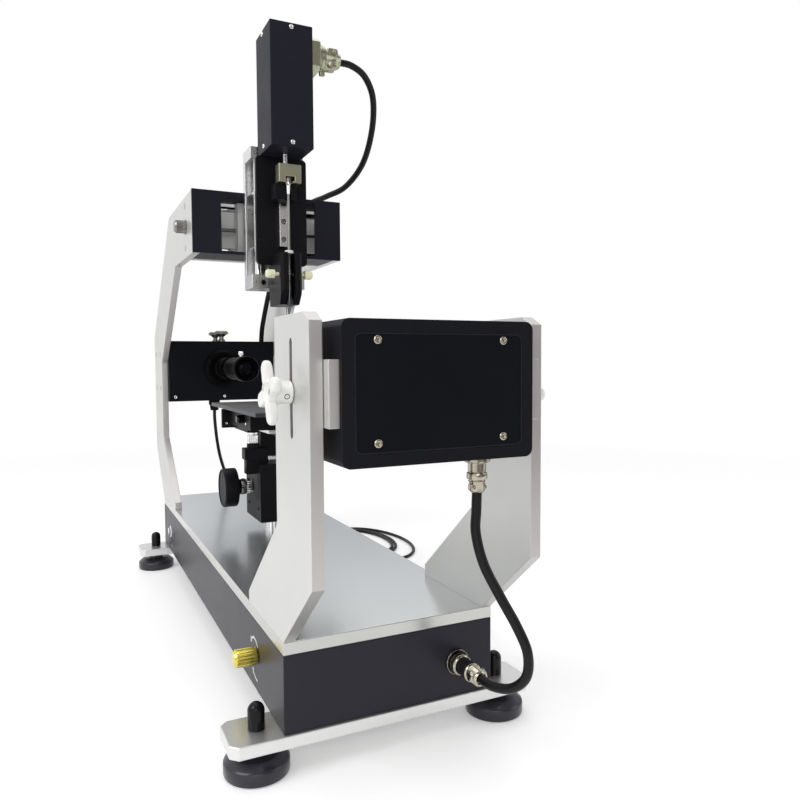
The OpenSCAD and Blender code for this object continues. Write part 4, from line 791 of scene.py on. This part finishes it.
def buildBaseJack(jack):
    place, axis, long = spot(*jack["place"]), jack["axis"], jack["long"]
    ring = bmesh.new()
    n, r, c, s = jack["nut"], jack["ring"], jack["clamp"], jack["sleeve"]
    lathe(ring, place, axis, [
        (n - 0.7, 0.1), (n - 0.2, 0.1), (n, 0.4), (n, 2.6), (n - 0.3, 3.2), (n - 0.7, 3.2)], 64, closed=True)
    lathe(ring, place, axis, [
        (0, 4.0), (7.2, 4.0), (r - 0.8, 4.2), (r - 0.2, 4.7), (r, 5.4), (r, 9.4), (r - 0.2, 10.2),
        (r - 1.1, 11.2), (s + 0.3, 11.6), (s, 11.0), (0, 11.0)], 72)
    lathe(ring, place, axis, [
        (0, 22.6), (c + 0.6, 22.6), (c + 1.1, 23.2), (c + 1.1, 25.6), (c + 0.4, 26.4), (c, 27.4),
        (c, long - 1.6), (c - 1.0, long - 0.3), (4.6, long), (4.1, long - 0.4), (3.9, long - 1.8),
        (0, long - 1.8)], 48)
    x, z = jack["place"][0], jack["place"][2]
    plainBlock(ring, (x - c - 1.2, 3.0 - long, z - 3.4), (x + c + 1.2, 10.5 - long, z + 3.8), 1.9)
    for side in (-1, 1):
        seat = place + Vector((side * 4.9, 6.8 - long, 3.7)) * mm
        capScrew(ring, seat, (0, 0, 1), 1.7, 1.4, 0.8)
    ribs = [(0, 10.8)]
    for k in range(jack["ribs"]):
        h = jack["ribPitch"] * k
        ribs += [(s - 0.4, 11.0 + h), (s, 11.4 + h), (s, 12.7 + h), (s - 0.4, 13.1 + h)]
    turned("baseJackNut", lensBlack, "frame", place, axis, [
        (0, -1), (6.5, -1), (6.5, 0.1), (n - 0.5, 0.1), (n - 0.5, 3.2), (n - 1.2, 4.0), (7.2, 4.2), (0, 4.2)],
        64)
    addPiece("baseJackRing", ring, bright, "frame", ("base_jack",))
    turned("baseJackSleeve", cordBlack, "frame", place, axis, ribs + [(0, 23.0)], 48)


def buildBoxJack(jack):
    place, axis, long = spot(*jack["place"]), jack["axis"], jack["long"]
    ring, n, b, r, c = bmesh.new(), jack["nut"], jack["body"], jack["ring"], jack["clamp"]
    lathe(ring, place, axis, [
        (0, -1.5), (n - 1.2, -1.5), (n, -0.6), (n, 1.4), (n - 0.8, 2.3), (b + 0.5, 2.5), (b, 3.0), (b, 9.0),
        (b - 0.5, 9.4), (b - 0.5, 9.8), (r - 0.5, 10.1), (r, 10.6, 1), (r, 14.0, 1), (r - 0.6, 14.7),
        (c + 0.2, 15.0), (c + 0.2, 15.8), (c + 0.9, 16.2), (c, 17.4), (c, long - 1.2), (c - 0.9, long - 0.2),
        (4.1, long), (3.8, long - 1.4), (0, long - 1.4)], 72, toothShape(30, 0.45))
    x, y, z = jack["place"]
    plainBlock(ring, (x - c - 1.2, y - 3.4, z - long + 1.4), (x + c + 1.2, y + 2.6, z - long + 7.2), 1.6)
    for side in (-1, 1):
        capScrew(ring, spot(x + side * 4.6, y - 3.3, z - long + 4.3), (0, -1, 0), 1.5, 1.2, 0.7)
    addPiece("boxJackRing", ring, bright, "light", ("box_jack",))


def squareShape(angle, radius):  # square with cut corners
    turn = angle % (math.pi / 2)
    return radius * min(1 / max(math.cos(turn), math.sin(turn)), 1.2497 / math.cos(turn - math.pi / 4))


def buildMotorJack(jack):
    x, y, z = jack["place"]
    place, axis, long = spot(x, y, z), (1, 0, 0), jack["long"]
    shell, screws = bmesh.new(), bmesh.new()
    f, b, n, c = jack["half"], jack["block"], jack["neck"], jack["clamp"]
    lathe(shell, spot(x, y, z - jack["drop"]), axis, [
        (0, -0.4), (f - 1.8, -0.4, 1), (f - 1.8, 1.7, 1), (f - 0.8, 1.7, 1), (f, 2.5, 1), (f, b - 1.0, 1),
        (f - 1.0, b, 1), (0, b, 1)], 96, squareShape)
    lathe(shell, place, axis, [
        (0, b - 0.5), (n, b - 0.5), (n, b + 0.4), (n, b + 2.4), (n - 0.7, b + 2.7), (n - 0.7, b + 3.4),
        (n, b + 3.7), (n - 0.4, b + 7.0), (n - 1.4, b + 7.9), (c + 2.6, b + 8.2), (c + 2.0, b + 9.6),
        (c, long - 3.4), (c - 1.6, long - 0.2), (4.6, long), (4.1, long - 1.6), (0, long - 1.6)], 72)
    for side in (-1, 1):  # saddle halves with their screws
        low, high = sorted((y + side * 1.0, y + side * 9.9))
        plainBlock(shell, (x + 24.0, low, z - 11.0), (x + 37.0, high, z + 11.0), 3.2)
        capScrew(screws, spot(x + 31.5, y - 9.8, z + side * 6.2), (0, -1, 0), 2.2, 1.4, 1.0)
    # lug under the neck
    plainBlock(shell, (x + 16.8, y - 2.6, z - f - 1.8), (x + 23.2, y + 2.6, z - n + 2), 1.2)
    addPiece("motorJackShell", shell, nickel, "head", ("motor_jack",))
    addPiece("motorJackScrews", screws, bright, "head")


buildBaseJack(baseJack)
buildBoxJack(boxJack)
buildMotorJack(motorJack)
print("connectors built")

# lens, its mount and its front glass
lensShape = {"axisZ": 267.0, "rear": 614.6, "radius": 17.5, "long": 147.0}


def buildLens(shape):
    place, axis = spot(0, shape["rear"], shape["axisZ"]), (0, -1, 0)
    r, long = shape["radius"], shape["long"]
    turned("lensTube", mountBlack, "lens", place, axis, [
        (0, -8), (13.9, -8), (13.9, 0.2), (r - 1.4, 0.2), (r - 1, 0.8), (r - 1, 6.0), (r - 1.5, 6.4),
        (r - 1.5, 7.4), (r - 1, 7.8), (r - 1, 13.4), (r - 3.3, 15.8), (r - 3.5, 16.4), (r - 3.5, 28.0),
        (r - 4.0, 28.5), (r - 4.0, 30.5), (r - 3.5, 31.0), (r - 3.5, 43.8), (r - 1.7, 45.6), (r - 1.5, 46.2),
        (r - 1.5, 48.0), (r - 2.3, 48.4), (r - 2.3, 71.6), (r - 1.5, 72.0), (r - 1.5, 73.8), (r - 2.3, 75.8),
        (r - 2.5, 76.4), (r - 2.5, 96.0), (r - 3.0, 96.4), (r - 3.0, 98.0), (r - 2.5, 98.4),
        (r - 2.5, long - 24), (r - 0.2, long - 22), (r, long - 21.4), (r, long - 14.0),
        (r - 0.5, long - 13.6), (r - 0.5, long - 12.8), (r, long - 12.4), (r, long - 1.2), (r - 0.9, long),
        (r - 2.4, long), (r - 3.0, long - 1.4), (r - 4.4, long - 4.6), (r - 5.0, long - 5.0),
        (r - 7.0, long - 9.0), (0, long - 9.0)], 96, stands=("lens_barrel",))
    turned("lensFocusRing", lensBlack, "lens", place, axis, [
        (r - 2.5, 48.6), (r - 1.7, 49.0, 1), (r - 1.4, 49.6, 1), (r - 1.4, 70.4, 1), (r - 1.7, 71.0, 1),
        (r - 2.5, 71.4)], 180, toothShape(60, 0.8), closed=True)
    turned("lensGlass", lensGlass, "lens", place, axis, [
        (0, long - 9.2), (r - 7.2, long - 9.2), (r - 7.2, long - 8.6), (8.5, long - 7.4), (4.5, long - 6.6),
        (0, long - 6.3)], 64)
    top = spot(0, shape["rear"] - long + 34, shape["axisZ"])
    turned("lensLockScrew", chrome, "lens", top, (0, 0, 1), [
        (0, 14), (2.0, 14), (2.0, r + 2.0), (3.1, r + 2.0), (3.5, r + 2.5, 1), (3.5, r + 6.2, 1),
        (3.0, r + 6.8), (1.4, r + 6.9), (1.2, r + 6.2), (0, r + 6.2)], 48, toothShape(20, 0.35))


mountShape = {"rear": 624.0, "axisZ": 267.0, "radius": 28.5, "thick": 9.0, "screws": 6, "screwCircle": 22.2}


def buildMount(shape):
    place, r, t = spot(0, shape["rear"], shape["axisZ"]), shape["radius"], shape["thick"]
    heads = bmesh.new()
    turned("lensMountRing", mountBlack, "frame", place, (0, -1, 0), [
        (14.05, 0), (r, 0), (r, t - 3.4), (r - 0.5, t - 2.8), (r - 3.4, t - 0.4), (r - 4.2, t), (20.4, t),
        (20.0, t - 0.6), (19.2, t - 0.6), (18.8, t), (14.05, t)], 96, closed=True, stands=("lens_mount",))
    for k in range(shape["screws"]):
        angle = 2 * math.pi * (k + 0.35) / shape["screws"]
        x, z = shape["screwCircle"] * math.cos(angle), shape["axisZ"] + shape["screwCircle"] * math.sin(angle)
        capScrew(heads, spot(x, shape["rear"] - t + 0.1, z), (0, -1, 0), 1.5, 0.9, 0.75)
    addPiece("lensMountScrews", heads, mountBlack, "frame")


buildLens(lensShape)
buildMount(mountShape)

# glass syringe, its steel end and its needle
syringeShape = {"axisY": 266.0, "low": 312.0, "top": 398.0, "radius": 4.0, "bore": 2.42, "tip": 280.0,
                "marks": 17, "markLow": 6, "markPitch": 4.0, "markTurn": 0.5}


def buildSyringe(shape):
    place = spot(0, shape["axisY"], 0)
    ticks = bmesh.new()
    r, b, low, top, tip = (shape[k] for k in ("radius", "bore", "low", "top", "tip"))
    turned("syringeFlange", whitePlastic, "head", place, (0, 0, 1), [
        (b, top - 3.4), (r + 0.4, top - 3.4), (r + 0.8, top - 3.0), (r + 0.8, top - 0.5), (r + 0.4, top),
        (b + 0.4, top), (b, top - 0.4)], 48, closed=True)
    turned("syringeGlass", glass, "head", place, (0, 0, 1), [
        (b, low + 1.5), (r - 0.6, low + 0.6), (r, low + 1.4), (r, top - 4.0), (r - 0.3, top - 3.5),
        (b + 0.4, top - 3.5), (b, top - 3.8)], 48, closed=True, stands=("syringe",))
    turned("syringeNeedle", chrome, "head", place, (0, 0, 1), [
        (0, tip), (0.28, tip), (0.36, tip + 0.4), (0.36, low - 15.6), (0.8, low - 15.2), (1.5, low - 15),
        (1.7, low - 13.4), (2.0, low - 11.6), (2.6, low - 11.2), (2.6, low - 9.0), (3.1, low - 8.6, 1),
        (3.1, low - 5.0, 1), (3.5, low - 4.4), (3.5, low + 0.8), (3.2, low + 1.2), (2.2, low + 1.2),
        (2.2, low + 3.0), (0, low + 3.0)], 48, hexShape)
    skin = r + 0.03
    for k in range(shape["marks"]):  # plain scale on the front of the barrel
        z, half = low + shape["markLow"] + k * shape["markPitch"], (1.4 if k % 5 == 0 else 0.8)
        row = []
        for lift in (-0.12, 0.12):
            for j in range(5):
                a = -math.pi / 2 - shape["markTurn"] + half / r * (j / 4 - 0.5) * 2
                y = shape["axisY"] + skin * math.sin(a)
                row.append(ticks.verts.new(spot(skin * math.cos(a), y, z + lift)))
        for j in range(4):
            ticks.faces.new((row[j], row[j + 1], row[j + 6], row[j + 5]))
    addPiece("syringeScale", ticks, markInk, "head")


buildSyringe(syringeShape)

# lift knob with its knurled ring, and the ring on the lift post
liftKnob = {"axisY": 371.5, "axisZ": 123.0, "radius": 23.5, "ringRadius": 9.8, "inner": 39.4, "outer": 56.4}


def buildLiftKnob(shape):
    place, axis = spot(0, shape["axisY"], shape["axisZ"]), (-1, 0, 0)
    r, c, near, far = (shape[k] for k in ("radius", "ringRadius", "inner", "outer"))
    turned("liftKnobDisc", black, "lift_knob", place, axis, [
        (0, near - 5.2), (9.0, near - 5.2), (9.4, near - 4.2), (10.4, near - 2.6), (13.2, near - 0.4),
        (r - 2.0, near), (r - 0.6, near + 0.4), (r, near + 1.4), (r, far - 2.0), (r - 0.5, far - 0.6),
        (r - 1.4, far), (r - 2.4, far), (r - 2.9, far - 0.6), (r - 2.9, far - 1.4), (0, far - 1.4)], 96,
        stands=("lift_knob",))
    turned("liftKnobFace", hoodBlack, "lift_knob", place, axis, [
        (0, far - 1.6), (r - 3.0, far - 1.6), (r - 3.0, far - 1.1), (r - 3.6, far - 0.9),
        (r - 9.0, far - 0.8), (0, far - 0.8)], 96)
    turned("liftKnobRing", chrome, "lift_knob", place, axis, [
        (0, -15), (3.5, -15), (3.5, 20.4), (c - 0.9, 20.4), (c - 0.3, 20.9), (c, 21.4, 1), (c, 26.4, 1),
        (c - 0.8, 27.0), (c - 0.8, 28.2), (c, 28.8, 1), (c, 33.2, 1), (c - 0.6, 34.0), (0, 34.3)], 96,
        toothShape(24, 0.9))


postRing = {"place": (0, 358), "low": 154.9, "high": 163.1, "radius": 12.0, "bore": 6.7}


def buildPostRing(shape):
    r, b = shape["radius"], shape["bore"]
    low, high = shape["low"], shape["high"]
    turned("postRing", chrome, "lift", spot(*shape["place"], 0), (0, 0, 1), [
        (b, low), (r - 0.7, low), (r, low + 0.7, 1), (r, high - 1.7, 1), (r - 0.7, high - 1.0),
        (r - 1.6, high), (b, high)], 96, toothShape(28, 0.8), closed=True)


lockShape = {"stud": 2.5, "studLong": 12.0, "teeth": 18, "depth": 1.0}


def buildLock(shape):
    low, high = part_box("lift_lock")
    r, top = (high.x - low.x) / 2 / mm, (high.z - low.z) / mm
    s, start = shape["stud"], shape["studLong"] + 0.3
    turned("liftLockSleeve", chrome, frame["nodes"]["lift_lock"]["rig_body"],
           Vector(((low.x + high.x) / 2, (low.y + high.y) / 2, low.z)), (0, 0, 1), [
        (0, 0), (s, 0), (s, start), (r - 1.0, start), (r - 0.2, start + 0.6), (r, start + 1.2, 1),
        (r, top - 4.4, 1), (r - 0.6, top - 3.8), (r - 1.1, top - 3.4), (r - 1.1, top - 2.6),
        (r - 0.2, top - 2.2), (r, top - 1.6), (r, top - 0.6), (r - 0.5, top), (0, top)], 108,
        toothShape(shape["teeth"], shape["depth"]), stands=("lift_lock",))


buildLiftKnob(liftKnob)
buildLock(lockShape)
buildPostRing(postRing)
print("lens, syringe and lift knob built")

# collet that holds the plunger in its clamp
colletShape = {"axisY": 266.0, "low": 459.0, "top": 474.5, "radius": 3.4, "bore": 1.55}


def buildCollet(shape):
    r, b, low, top = shape["radius"], shape["bore"], shape["low"], shape["top"]
    turned("plungerCollet", chrome, "pusher", spot(0, shape["axisY"], 0), (0, 0, 1), [
        (b, low), (b + 0.5, low), (r - 0.8, low + 9.5), (r, low + 10.2), (r, top - 2.6), (r - 0.5, top - 2.2),
        (r - 0.5, top - 1.6), (r, top - 1.2), (r, top - 0.3), (r - 0.4, top), (b, top)], 48, closed=True)


buildCollet(colletShape)

# feed screw with its thread
feedShape = {"axisY": 276.0, "low": 458.0, "high": 565.0, "radius": 2.5, "pitch": 1.5, "depth": 0.3}


def buildThread(shape):
    low, high, r, pitch = shape["low"], shape["high"], shape["radius"], shape["pitch"]
    root, h = r - shape["depth"], low + pitch / 2
    profile = [(0, low), (root, low)]
    while h < high - pitch:
        profile += [(root, h), (r, h + pitch * 0.3), (r, h + pitch * 0.55), (root, h + pitch * 0.9)]
        h += pitch
    turned("feedScrewThread", chrome, "pusher", spot(0, shape["axisY"], 0), (0, 0, 1), profile + [
        (root, high), (0, high)], 24, stands=("feed_screw",))


buildThread(feedShape)


# screws, countersunk where no height is given
def plateHoles(x):
    upper = [(x, 392, 438 + s * 25) for s in (-1, 1)]
    return upper + [(x, y, 263 + s * 26) for y in (650, 690) for s in (-1, 1)]


boxHead = {"finish": chrome, "radius": 2.6, "height": 1.2, "socket": 1.2}
plateHead = {"body": "frame", "finish": nickel, "radius": 4.2, "socket": 1.7}
screwSets = {
    "panelScrews": {"body": "light", "finish": bright, "radius": 3.0, "height": 1.3, "socket": 1.4,
                    "axis": (0, -1, 0), "places": [(x, -79.5, z) for x in (-48, 48) for z in (222.5, 289.5)]},
    "motorFrontScrews": {**boxHead, "body": "head", "axis": (0, -1, 0),
                         "places": [(0, 246, 510), (0, 246, 629.5)]},
    "motorLeftScrews": {**boxHead, "body": "head", "axis": (-1, 0, 0),
                        "places": [(-23.5, 276, 510.5), (-23.5, 276, 629.5)]},
    "motorRightScrews": {**boxHead, "body": "head", "axis": (1, 0, 0), "places": [(23.5, 286, 510.5)]},
    "cameraFrontScrews": {**boxHead, "body": "frame", "axis": (0, -1, 0),
                          "places": [(x, 624, 223.6) for x in (-72, 2, 74)]},
    "railScrews": {"body": "head", "finish": dull, "radius": 2.75, "height": 2.4, "socket": 1.3,
                   "axis": (0, -1, 0), "places": [(0, 288, 413 + 20 * k) for k in range(5)]},
    "stageScrews": {"body": "cross", "finish": lensBlack, "radius": 2.9, "height": 0.7, "socket": 1.5,
                    "axis": (0, -1, 0), "places": [(side * 18, 307, 367) for side in (-1, 1)]},
    "liftScrews": {"body": "lift", "finish": lensBlack, "radius": 2.2, "height": 0.9, "socket": 1.1,
                   "axis": (-1, 0, 0), "places": [(-20, 386, 100), (-20, 340, 100)]},
    "trayScrews": {"body": "stage_mid", "finish": chrome, "radius": 1.7, "height": 0.9, "socket": 0.8,
                   "axis": (-1, 0, 0), "places": [(-57, 281, 211.5), (-57, 240, 211.5)]},
    "trayRearScrews": {"body": "stage_mid", "finish": chrome, "radius": 1.4, "height": 0.8, "socket": 0.7,
                       "axis": (0, -1, 0), "places": [(side * 61, 316, 206.5) for side in (-1, 1)]},
    "plateScrewsLeft": {**plateHead, "axis": (-1, 0, 0), "places": plateHoles(-90)},
    "plateScrewsRight": {**plateHead, "axis": (1, 0, 0), "places": plateHoles(90)},
    "stageDimples": {"body": "cross", "finish": bright, "radius": 1.7, "socket": 0.8, "axis": (0, -1, 0),
                     "places": [(s * x, 307, z) for x, z in ((25.5, 367.5), (26, 512)) for s in (-1, 1)]},
    "sideDot": {"body": "frame", "finish": chrome, "radius": 2.4, "socket": 1.0, "axis": (-1, 0, 0),
                "places": [(-90, 566, 10.5)]},
    "plateEdgeScrews": {"body": "head", "finish": lensBlack, "radius": 2.3, "socket": 1.2, "axis": (0, -1, 0),
                        "places": [(side * 24, 291, z) for side in (-1, 1) for z in (412, 460)]}}

for setName, screws in screwSets.items():
    screwMesh = bmesh.new()
    for screwPlace in screws["places"]:
        seat = (screwMesh, spot(*screwPlace), screws["axis"], screws["radius"])
        if "height" in screws:
            capScrew(*seat, screws["height"], screws["socket"])
        else:
            sunkScrew(*seat, screws["socket"])
    addPiece(setName, screwMesh, screws["finish"], screws["body"])

# rim of the inset light panel
beadShape = {"width": 1.1, "rise": 0.45, "corner": 5.0, "steps": 36}


def buildBead(shape):
    low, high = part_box("light_panel")
    bm, loops, steps = bmesh.new(), [], shape["steps"]
    for inset, rise in ((0.1, -0.3), (0.1, 0.7), (0.35, 1.0), (0.75, 1.0), (1.0, 0.7), (1.0, -0.3)):
        gap, radius = inset * shape["width"] * mm, (shape["corner"] - inset * shape["width"]) * mm
        loop = []
        for k in range(steps):
            angle = math.pi * (2 * k + 1) / steps
            c, s = math.cos(angle), math.sin(angle)
            x = (high.x - gap - radius if c > 0 else low.x + gap + radius) + radius * c
            z = (high.z - gap - radius if s > 0 else low.z + gap + radius) + radius * s
            loop.append(bm.verts.new((x, low.y - rise * shape["rise"] * mm, z)))
        loops.append(loop)
    for first, second in zip(loops, loops[1:] + loops[:1]):
        joinRings(bm, first, second)
    addPiece("panelBead", bm, hoodBlack, "light")


buildBead(beadShape)

# bezel round the push button and turning arrows round the brightness knob
bezelShape = {"place": (-90, 573, 30), "inner": 6.3, "outer": 8.6, "thick": 1.4}
arrowShape = {"middle": (86, 28.5), "face": -90.12, "thick": 0.25, "steps": 12, "width": 2.0, "head": 14.0,
              "barb": 3.2, "arcs": [(137.0, 46.0, 15.0, 15.0), (-114.0, -72.0, 20.5, 15.6)]}


def buildBezel(shape):
    inner, outer, t = shape["inner"], shape["outer"], shape["thick"]
    turned("buttonBezel", chrome, "frame", spot(*shape["place"]), (-1, 0, 0), [
        (inner, -0.3), (outer, -0.3), (outer, t * 0.5), (outer - 0.7, t), (inner + 0.5, t), (inner, t - 0.4)],
        64, closed=True)


def buildArrows(shape):
    bm, steps, barb = bmesh.new(), shape["steps"], shape["barb"]
    midY, midZ = shape["middle"]

    def corner(reach, angle):
        return bm.verts.new(spot(shape["face"], midY + reach * math.cos(angle),
                                 midZ + reach * math.sin(angle)))

    for begin, end, wide, narrow in shape["arcs"]:
        inner, outer = [], []
        for k in range(steps + 1):
            angle, r = math.radians(begin + (end - begin) * k / steps), wide + (narrow - wide) * k / steps
            for line, reach in ((inner, r - shape["width"] / 2), (outer, r + shape["width"] / 2)):
                line.append(corner(reach, angle))
        for k in range(steps):
            bm.faces.new((inner[k], outer[k], outer[k + 1], inner[k + 1]))
        side = math.copysign(1.0, end - begin)
        tip, base = math.radians(end + side * shape["head"]), math.radians(end - side * 2)
        bm.faces.new([corner(narrow, tip), corner(narrow - barb, base), corner(narrow + barb, base)])
    raised = bmesh.ops.extrude_face_region(bm, geom=bm.faces[:])
    for point in (part for part in raised["geom"] if isinstance(part, bmesh.types.BMVert)):
        point.co.x += shape["thick"] * mm
    addPiece("turnArrows", bm, markWhite, "frame")


buildBezel(bezelShape)
buildArrows(arrowShape)
print("screws, bezel and marks placed")

# floor, lamps and sky
# lift is an even glow on the near floor; ahead and paintedRoomFrom place a painted reflection, bands that
# only glossy rays see on the floor ahead
stageLook = {"size": 30.0, "drop": 0.0002, "tone": (0.95, 0.95, 0.95), "rough": 0.6, "specular": 0.1,
             "lift": 0.24, "fade": (0.8, 2.0), "ahead": (-0.7, -1.5), "paintedRoomFrom": (0.0, -0.2, 0.3)}
lampSet = {
    "keyLamp": {"place": (-1.7, -0.7, 1.9), "aim": (0, 0, 0.25), "size": 1.5, "power": 28.0},
    "topLamp": {"place": (0.2, 0.3, 2.4), "aim": (0, 0, 0.2), "size": 2.0, "power": 14.0},
    "frontLamp": {"place": (-0.6, -2.2, 0.9), "aim": (0, 0, 0.3), "size": 1.2, "power": 9.0},
    "sideLamp": {"place": (1.9, -1.2, 1.0), "aim": (0, 0, 0.25), "size": 1.4, "power": 9.0}}
# the room as metal shows it: ahead of the object from left to right, behind it low and high
skyLook = {"front": (0.42, 0.40, 0.40), "diffuse": 0.62, "left": (1.0, 1.0, 1.0),
           "low": (0.30, 0.32, 0.36), "high": (0.95, 0.96, 0.95),
           "behindFrom": (-0.55, 0.35), "highFrom": (0.18, 0.40), "leftUpTo": (-0.05, 0.28),
           "mirrorFront": [(0.0, (1.0, 1.0, 1.0)), (0.26, (0.85, 0.84, 0.83)), (0.38, (0.24, 0.22, 0.21)),
                           (0.50, (0.36, 0.34, 0.34)), (0.63, (0.46, 0.42, 0.42)), (0.78, (0.16, 0.15, 0.16)),
                           (1.0, (0.10, 0.10, 0.11))]}


def mixShaders(tree, factor, first, second):
    node = addNode(tree, "ShaderNodeMixShader")
    for source, socket in zip((factor, first, second), node.inputs):
        tree.links.new(source, socket)
    return node.outputs[0]


def seenPlainly(tree, path):  # by the camera, in metal and through glass
    bent = combine(tree, "MAXIMUM", path.outputs["Is Glossy Ray"], path.outputs["Is Transmission Ray"])
    return combine(tree, "MAXIMUM", path.outputs["Is Camera Ray"], bent)


def buildFloor(look):
    bm = bmesh.new()
    bmesh.ops.create_grid(bm, x_segments=8, y_segments=8, size=look["size"])
    for corner in bm.verts:
        corner.co.z = spot(0, 0, footShape["floor"]).z - look["drop"]
    mesh = bpy.data.meshes.new("floor")
    bm.to_mesh(mesh)
    bm.free()
    floor = bpy.data.objects.new("floor", mesh)
    scene.collection.objects.link(floor)
    material = bpy.data.materials.new("paleFloor")
    material.use_nodes = True
    tree = material.node_tree
    shader, out = tree.nodes["Principled BSDF"], tree.nodes["Material Output"]
    shader.inputs["Base Color"].default_value = (*look["tone"], 1)
    shader.inputs["Roughness"].default_value = look["rough"]
    shader.inputs["Specular IOR Level"].default_value = look["specular"]
    path, place = addNode(tree, "ShaderNodeLightPath"), placeIn(tree)
    far = spread(tree, vectorNode(tree, "LENGTH", place).outputs["Value"], *look["fade"])
    glowNear = addNode(tree, "ShaderNodeEmission")
    glowNear.inputs["Strength"].default_value = look["lift"]
    near = addNode(tree, "ShaderNodeAddShader")
    tree.links.new(shader.outputs[0], near.inputs[0])
    tree.links.new(glowNear.outputs[0], near.inputs[1])
    # painted reflection: for glossy rays the floor ahead glows with the room's light and dark sides, which
    # metal then shows
    ahead = multiply(tree, spread(tree, partsOf(tree, place)["Y"], *look["ahead"]),
                     path.outputs["Is Glossy Ray"])
    fromPart = vectorNode(tree, "SUBTRACT", place, look["paintedRoomFrom"]).outputs["Vector"]
    course = vectorNode(tree, "NORMALIZE", fromPart).outputs["Vector"]
    room = rampOf(tree, spread(tree, partsOf(tree, course)["X"], -1.0, 1.0), skyLook["mirrorFront"])
    farGlowAndPaintedReflection = addNode(tree, "ShaderNodeEmission")
    tree.links.new(mixColours(tree, ahead, (1, 1, 1), room), farGlowAndPaintedReflection.inputs["Color"])
    faded = mixShaders(tree, combine(tree, "MAXIMUM", far, ahead), near.outputs[0], farGlowAndPaintedReflection.outputs[0])
    tree.links.new(mixShaders(tree, seenPlainly(tree, path), shader.outputs[0], faded), out.inputs["Surface"])
    mesh.materials.append(material)


def buildSky(look):
    world = bpy.data.worlds.new("studioSky")
    scene.world = world
    world.use_nodes = True
    tree = world.node_tree
    sky = tree.nodes["Background"]
    path = addNode(tree, "ShaderNodeLightPath")
    parts = partsOf(tree, addNode(tree, "ShaderNodeTexCoord").outputs["Generated"])
    behind = spread(tree, parts["Y"], *look["behindFrom"])
    ahead = rampOf(tree, spread(tree, parts["X"], -1.0, 1.0), look["mirrorFront"])
    rear = mixColours(tree, spread(tree, parts["Z"], *look["highFrom"]), look["low"], look["high"])
    rear = mixColours(tree, spread(tree, parts["X"], *look["leftUpTo"]), look["left"], rear)
    mirror = mixColours(tree, behind, ahead, rear)
    plain = mixColours(tree, behind, look["front"], (1, 1, 1))
    room = mixColours(tree, path.outputs["Is Glossy Ray"], plain, mirror)
    white = mixColours(tree, path.outputs["Is Camera Ray"], room, (1, 1, 1))
    tree.links.new(white, sky.inputs["Color"])
    tree.links.new(spread(tree, seenPlainly(tree, path), 0.0, 1.0, look["diffuse"], 1.0),
                   sky.inputs["Strength"])


def buildLamps(lamps):
    for name, lamp in lamps.items():
        data = bpy.data.lights.new(name, "AREA")
        data.energy, data.size = lamp["power"], lamp["size"]
        piece = bpy.data.objects.new(name, data)
        scene.collection.objects.link(piece)
        place, aim = Vector(lamp["place"]), Vector(lamp["aim"])
        piece.location = place
        piece.rotation_euler = (aim - place).to_track_quat("-Z", "Y").to_euler()


buildFloor(stageLook)
buildSky(skyLook)
buildLamps(lampSet)
scene.view_settings.view_transform = "Standard"
print("floor, sky and lamps set")

bpy.context.view_layer.update()
